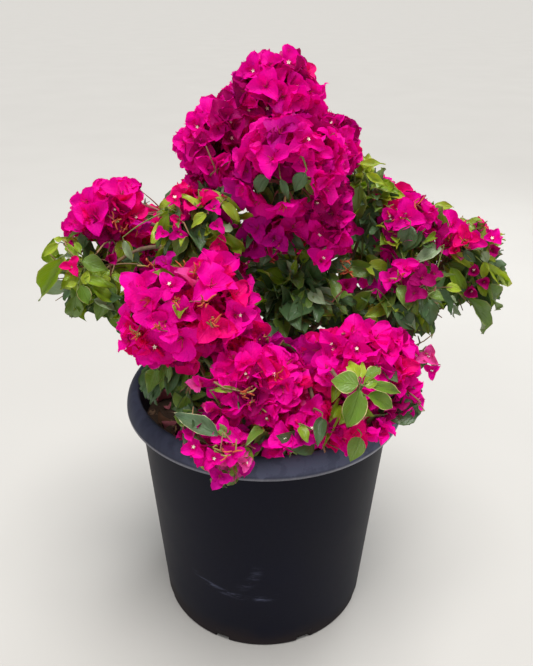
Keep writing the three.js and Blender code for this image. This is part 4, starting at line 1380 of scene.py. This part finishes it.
def growMass(mass):
    draw = seeded(1 + mass.index)
    random = np.random.default_rng(seeds["shoots"] + mass.index)
    start = mass.entry + unit(mass.through) * growth["clearance"]
    end = mass.at + mass.through * growth["stemEnd"]
    mass.stem = start, end
    growSeen(mass, random)
    bend = (start + end) / 2 + random.normal(0, 0.002, 3)
    twigs.add(bezier(start, bend, end, taper(0, 1)), taper(twigSize["stem"], twigSize["root"]), 0, mass.name)
    upper, dense, sprig = mass.row == "upper", mass.kind == "dense", mass.kind == "sprig"
    count = round(mass.shoots * mass.more)
    for i in range(count):
        way = evenWay(i, count, draw)
        isFlower = way[2] >= 1 - 2 * mass.bloom
        free = freeShare(mass, way)
        if free < growth["least"]:
            continue
        outward = way * mass.reach * free
        root = start + (end - start) * rootShare(mass, way, draw)
        farthest = shoot["flowerTo"] - shoot["lessBySize"] * mass.scale
        depth = random.uniform(*((shoot["flowerFrom"], farthest) if isFlower else shoot["leaves"]))
        if upper and random.random() < shoot["standOut"]:
            depth += shoot["further"]
        tip = mass.at + outward * depth
        if not clearOfPot(tip[None]):
            continue
        rise = vec(0, 0, growth["rise"]) * np.linalg.norm(tip - root)
        middle = (root + tip) / 2 + random.normal(0, shoot["bend"], 3) + rise
        path = bezier(root, middle, tip, taper(0, 1))
        if isFlower:
            facing = unit(tip - root) * shoot["along"] + unit(outward / mass.reach) * shoot["outward"]
            made = bloomSpray(mass, tip, unit(facing + random.normal(0, shoot["chance"], 3)), random)
            leafy = shoot["denseLeafy" if dense else "leafy"] + mass.young * shoot["youngLeafy"]
            if not upper and not sprig and random.random() < leafy:
                made += leafySpray(mass, path[:-1], random, 0.3, 2)
        else:
            made = leafySpray(mass, path, random, max(0, way[2]))
        if made:
            slot = 0 if mass.bloom < 0.5 else 1
            twigs.add(path, taper(twigSize["root"], twigSize["tip"]), slot, mass.name)
            mass.nodes.extend(path[1:])
    reachSeen(mass, random)
    # older leaves deep inside, and in the upper masses flowers in the purple and deep tints as painted shade,
    # which shut off the light behind the outer ones
    for i in range(0 if sprig else round(mass.shoots * (2 if mass.bloom < 0.6 else 1.4))):
        way = unit(random.normal(0, 1, 3))
        at = mass.at + way * mass.reach * freeShare(mass, way) * random.uniform(*deep["shares"])
        side = unit(random.normal(0, 1, 3) + way)
        if upper:
            axis, opening = unit(way - vec(0, 0.2, 0)), math.radians(deep["opening"])
            addFlower(mass, at, axis, deep["flower"], opening, 4 if i % 2 else 3, random, False, deep["room"])
        else:
            face = unit(random.normal(0, 1, 3) + vec(0, -0.2, 0.6))
            addLeaf(mass, at, side, face, random.uniform(*deep["leaf"]), 0, random)


rosette = dict(
    hub=(-0.004, 0.004, 0.002), radii=(0.0022, 0.0014), shrink=(0.85, 1.12), sameTint=0.8,
    # small leaves round the hub: leaves, length, tint, lean, step
    tiers=((3, 0.026, 2, 0.8, 0.003), (4, 0.016, 3, 1.2, 0.007)),
)


def growRosette(mass):
    # the vigorous young shoot over the front blooms: a wheel of large leaves round a bright tuft
    random = np.random.default_rng(seeds["rosette"])
    hub = mass.at + vec(*rosette["hub"])
    start = mass.entry + unit(mass.through) * growth["clearance"]
    twigs.add(bezier(start, (start + hub) / 2, hub, taper(0, 1)), taper(*rosette["radii"]), 2, mass.name)
    mass.stem = start, hub
    mass.nodes.append(hub)
    growSeen(mass, random)
    reachSeen(mass, random)
    for tier, (count, length, tint, lean, step) in enumerate(rosette["tiers"], 1):
        for i in range(count):
            angle = (i + 0.35 + 0.5 * tier) / count * math.tau + random.uniform(-0.12, 0.12)
            out = vec(math.cos(angle), -lean, math.sin(angle))
            face = vec(0, -1, 0.5) + random.normal(0, 0.2, 3)
            long = length * random.uniform(*rosette["shrink"])
            own = tint if random.random() < rosette["sameTint"] else 2
            addLeaf(mass, hub + vec(0, -step, 0), out, face, long, own, random, True)


def fillerFlower(mass, at, way, random):
    axis = unit(unit(at - mass.at) * 0.5 - way * 0.5 + random.normal(0, 0.15, 3))
    place, tint = at - axis * 0.01, pickTint(mass.tints, random)
    for size in gaps["flowers"]:
        if addFlower(mass, place, axis, size, gaps["opening"], tint, random, False, gaps["room"], "filler"):
            reachTo(mass, place, 0, random)
            return True
    return False


def fillerLeaf(mass, at, filled, random):
    hang = unit(vec(random.normal(0, 1), random.normal(0, 0.4), random.normal(-0.4, 0.7)))
    length = random.uniform(*gaps["length"])
    face = unit(vec(0, -0.8, 0.6) + random.normal(0, 0.3, 3))
    side, along = unit(np.cross(hang, face)) * length * gaps["width"], hang * length * 0.5
    ends = np.array((at - along, at + along, at + side, at - side))
    if mass.share(ends).max() > growth["farthest"] or not shows(ends, False):
        return False
    tint = leafTint(mass.young, 0.5, random) if mass.young > 0.3 else filled % 3 // 2
    if not addLeaf(mass, ends[0], hang, face, length, tint, random, True):
        return False
    reachTo(mass, ends[0], 0, random)
    return True


def closeGaps():
    # leaves and flowers behind any place where the photo has leafage and the shoots left a hole
    random = np.random.default_rng(seeds["gaps"])
    rows = bracts.rows + leaves.rows
    middles = np.array([at + axes[1] * 0.5 for at, axes, *_ in rows])
    blades, distances = toPixel(middles), np.linalg.norm(middles - eye, axis=1)
    lengths = np.array([np.linalg.norm(axes[1]) * gaps["hides"] for _, axes, *_ in rows])
    hides = view["focal"] / distances * lengths
    filled = 0
    for y in range(*gaps["down"], gaps["step"]):
        for x in range(*gaps["across"], gaps["step"]):
            spot = np.array([[x, y]], float)
            if not inOutline(spot).all() or inSpots(spot, bareSpots + openSpots):
                continue
            if (np.linalg.norm(blades - spot[0], axis=1) < hides).sum() > gaps["enough"]:
                continue
            way, leafy = sightLine(x, y), inSpots(spot, leafySpots)
            # how near the sight line passes to the middle of each mass, as a share of its reach
            near = []
            for m in masses:
                ray = way / m.reach
                near.append(np.linalg.norm(np.cross(ray, (eye - m.at) / m.reach)) / np.linalg.norm(ray))
            for index in np.argsort(near)[:3]:
                mass = masses[index]
                if mass.kind == "whorl":
                    continue
                at = onMass(mass, x, y, 0.01)
                if mass.kind == "dense" and not leafy and fillerFlower(mass, at, way, random):
                    filled += 1
                    break
                at = at + way * mass.reach[1] * gaps["behind"] * (near[index] < gaps["edge"])
                if mass.row == "upper" and not leafy:
                    continue
                if fillerLeaf(mass, at, filled, random):
                    filled += 1
                    break
    print("closed", filled, "gaps")


def growCrown():
    for mass in masses:
        planBough(mass)
    for mass in masses:
        if mass.kind == "whorl":
            growRosette(mass)
        else:
            growMass(mass)
    closeGaps()
    bracts.join("bracts", [bladeFinish(*tint, bractLook) for tint in bractTints], "bracts")
    greens = []
    for name, face, glow, rim in leafTints:
        greens.append(bladeFinish(name, face, glow, leafLook))
        greens.append(bladeFinish(f"{name}_edge", rim, rim, edgeLook))
    leaves.join("leaves", greens, "leaves")
    tubes.join("flower_tubes", [plainFinish(*tint) for tint in tubeTints], "bracts")
    stars.join("flower_stars", [plainFinish("stars_cream", linear(244, 236, 214), 0.6)], "bracts")
    twigs.join("twigs", [plainFinish(*tint) for tint in twigTints], "bark")


# fallen bracts

fallen = dict(count=260, radius=0.168, lift=0.0025, length=(0.018, 0.036), width=0.42)
fallenTints = [("litter_tan", linear(150, 118, 86)), ("litter_brown", linear(92, 66, 50)),
               ("litter_pink", linear(150, 84, 92)), ("litter_plum", linear(98, 52, 64))]


def makeLitter():
    random = np.random.default_rng(seeds["fallen"])
    litter = Sheaf(*bladeShapes(bractShape, seeds["fallenShapes"])[:3])
    for _ in range(fallen["count"]):
        radius = fallen["radius"] * math.sqrt(random.uniform(0.02, 1))
        angle = random.uniform(0, math.tau)
        height = soilHeight(radius) + fallen["lift"]
        at = vec(radius * math.cos(angle), radius * math.sin(angle), height)
        way = unit(np.append(random.normal(0, 1, 2), random.uniform(-0.05, 0.16)))
        side, _ = squareTo(way, random.normal(0, 1, 3) * (1, 1, 0.15))
        length = random.uniform(*fallen["length"])
        shape, tint = int(random.integers(99)), int(random.integers(len(fallenTints)))
        litter.add(at, side, way, np.cross(side, way), length * fallen["width"], length, shape, tint)
    blades = [bladeFinish(name, colour, colour, litterLook) for name, colour in fallenTints]
    litter.join("litter", blades, "bracts")


def layFloor():
    finish = Finish("studio_floor")
    where = finish.coordinates()
    tone = finish.mix(finish.noise(where, 2.0, 2.0), linear(180, 178, 174), linear(186, 184, 180))
    material = finish.done(finish.principled(Base_Color=tone, Roughness=0.85, Specular_IOR_Level=0.2))
    mesh = bpy.data.meshes.new("floor")
    mesh.from_pydata([(-150, -150, 0), (150, -150, 0), (150, 150, 0), (-150, 150, 0)], [], [(0, 1, 2, 3)])
    mesh.materials.append(material)
    floor = bpy.data.objects.new("floor", mesh)
    scene.collection.objects.link(floor)


placeCamera()
lightStudio()
layFloor()
print("camera, lamps and floor are in place")
makePot()
makeSoil()
makeLitter()
growCrown()
makeLimbs()
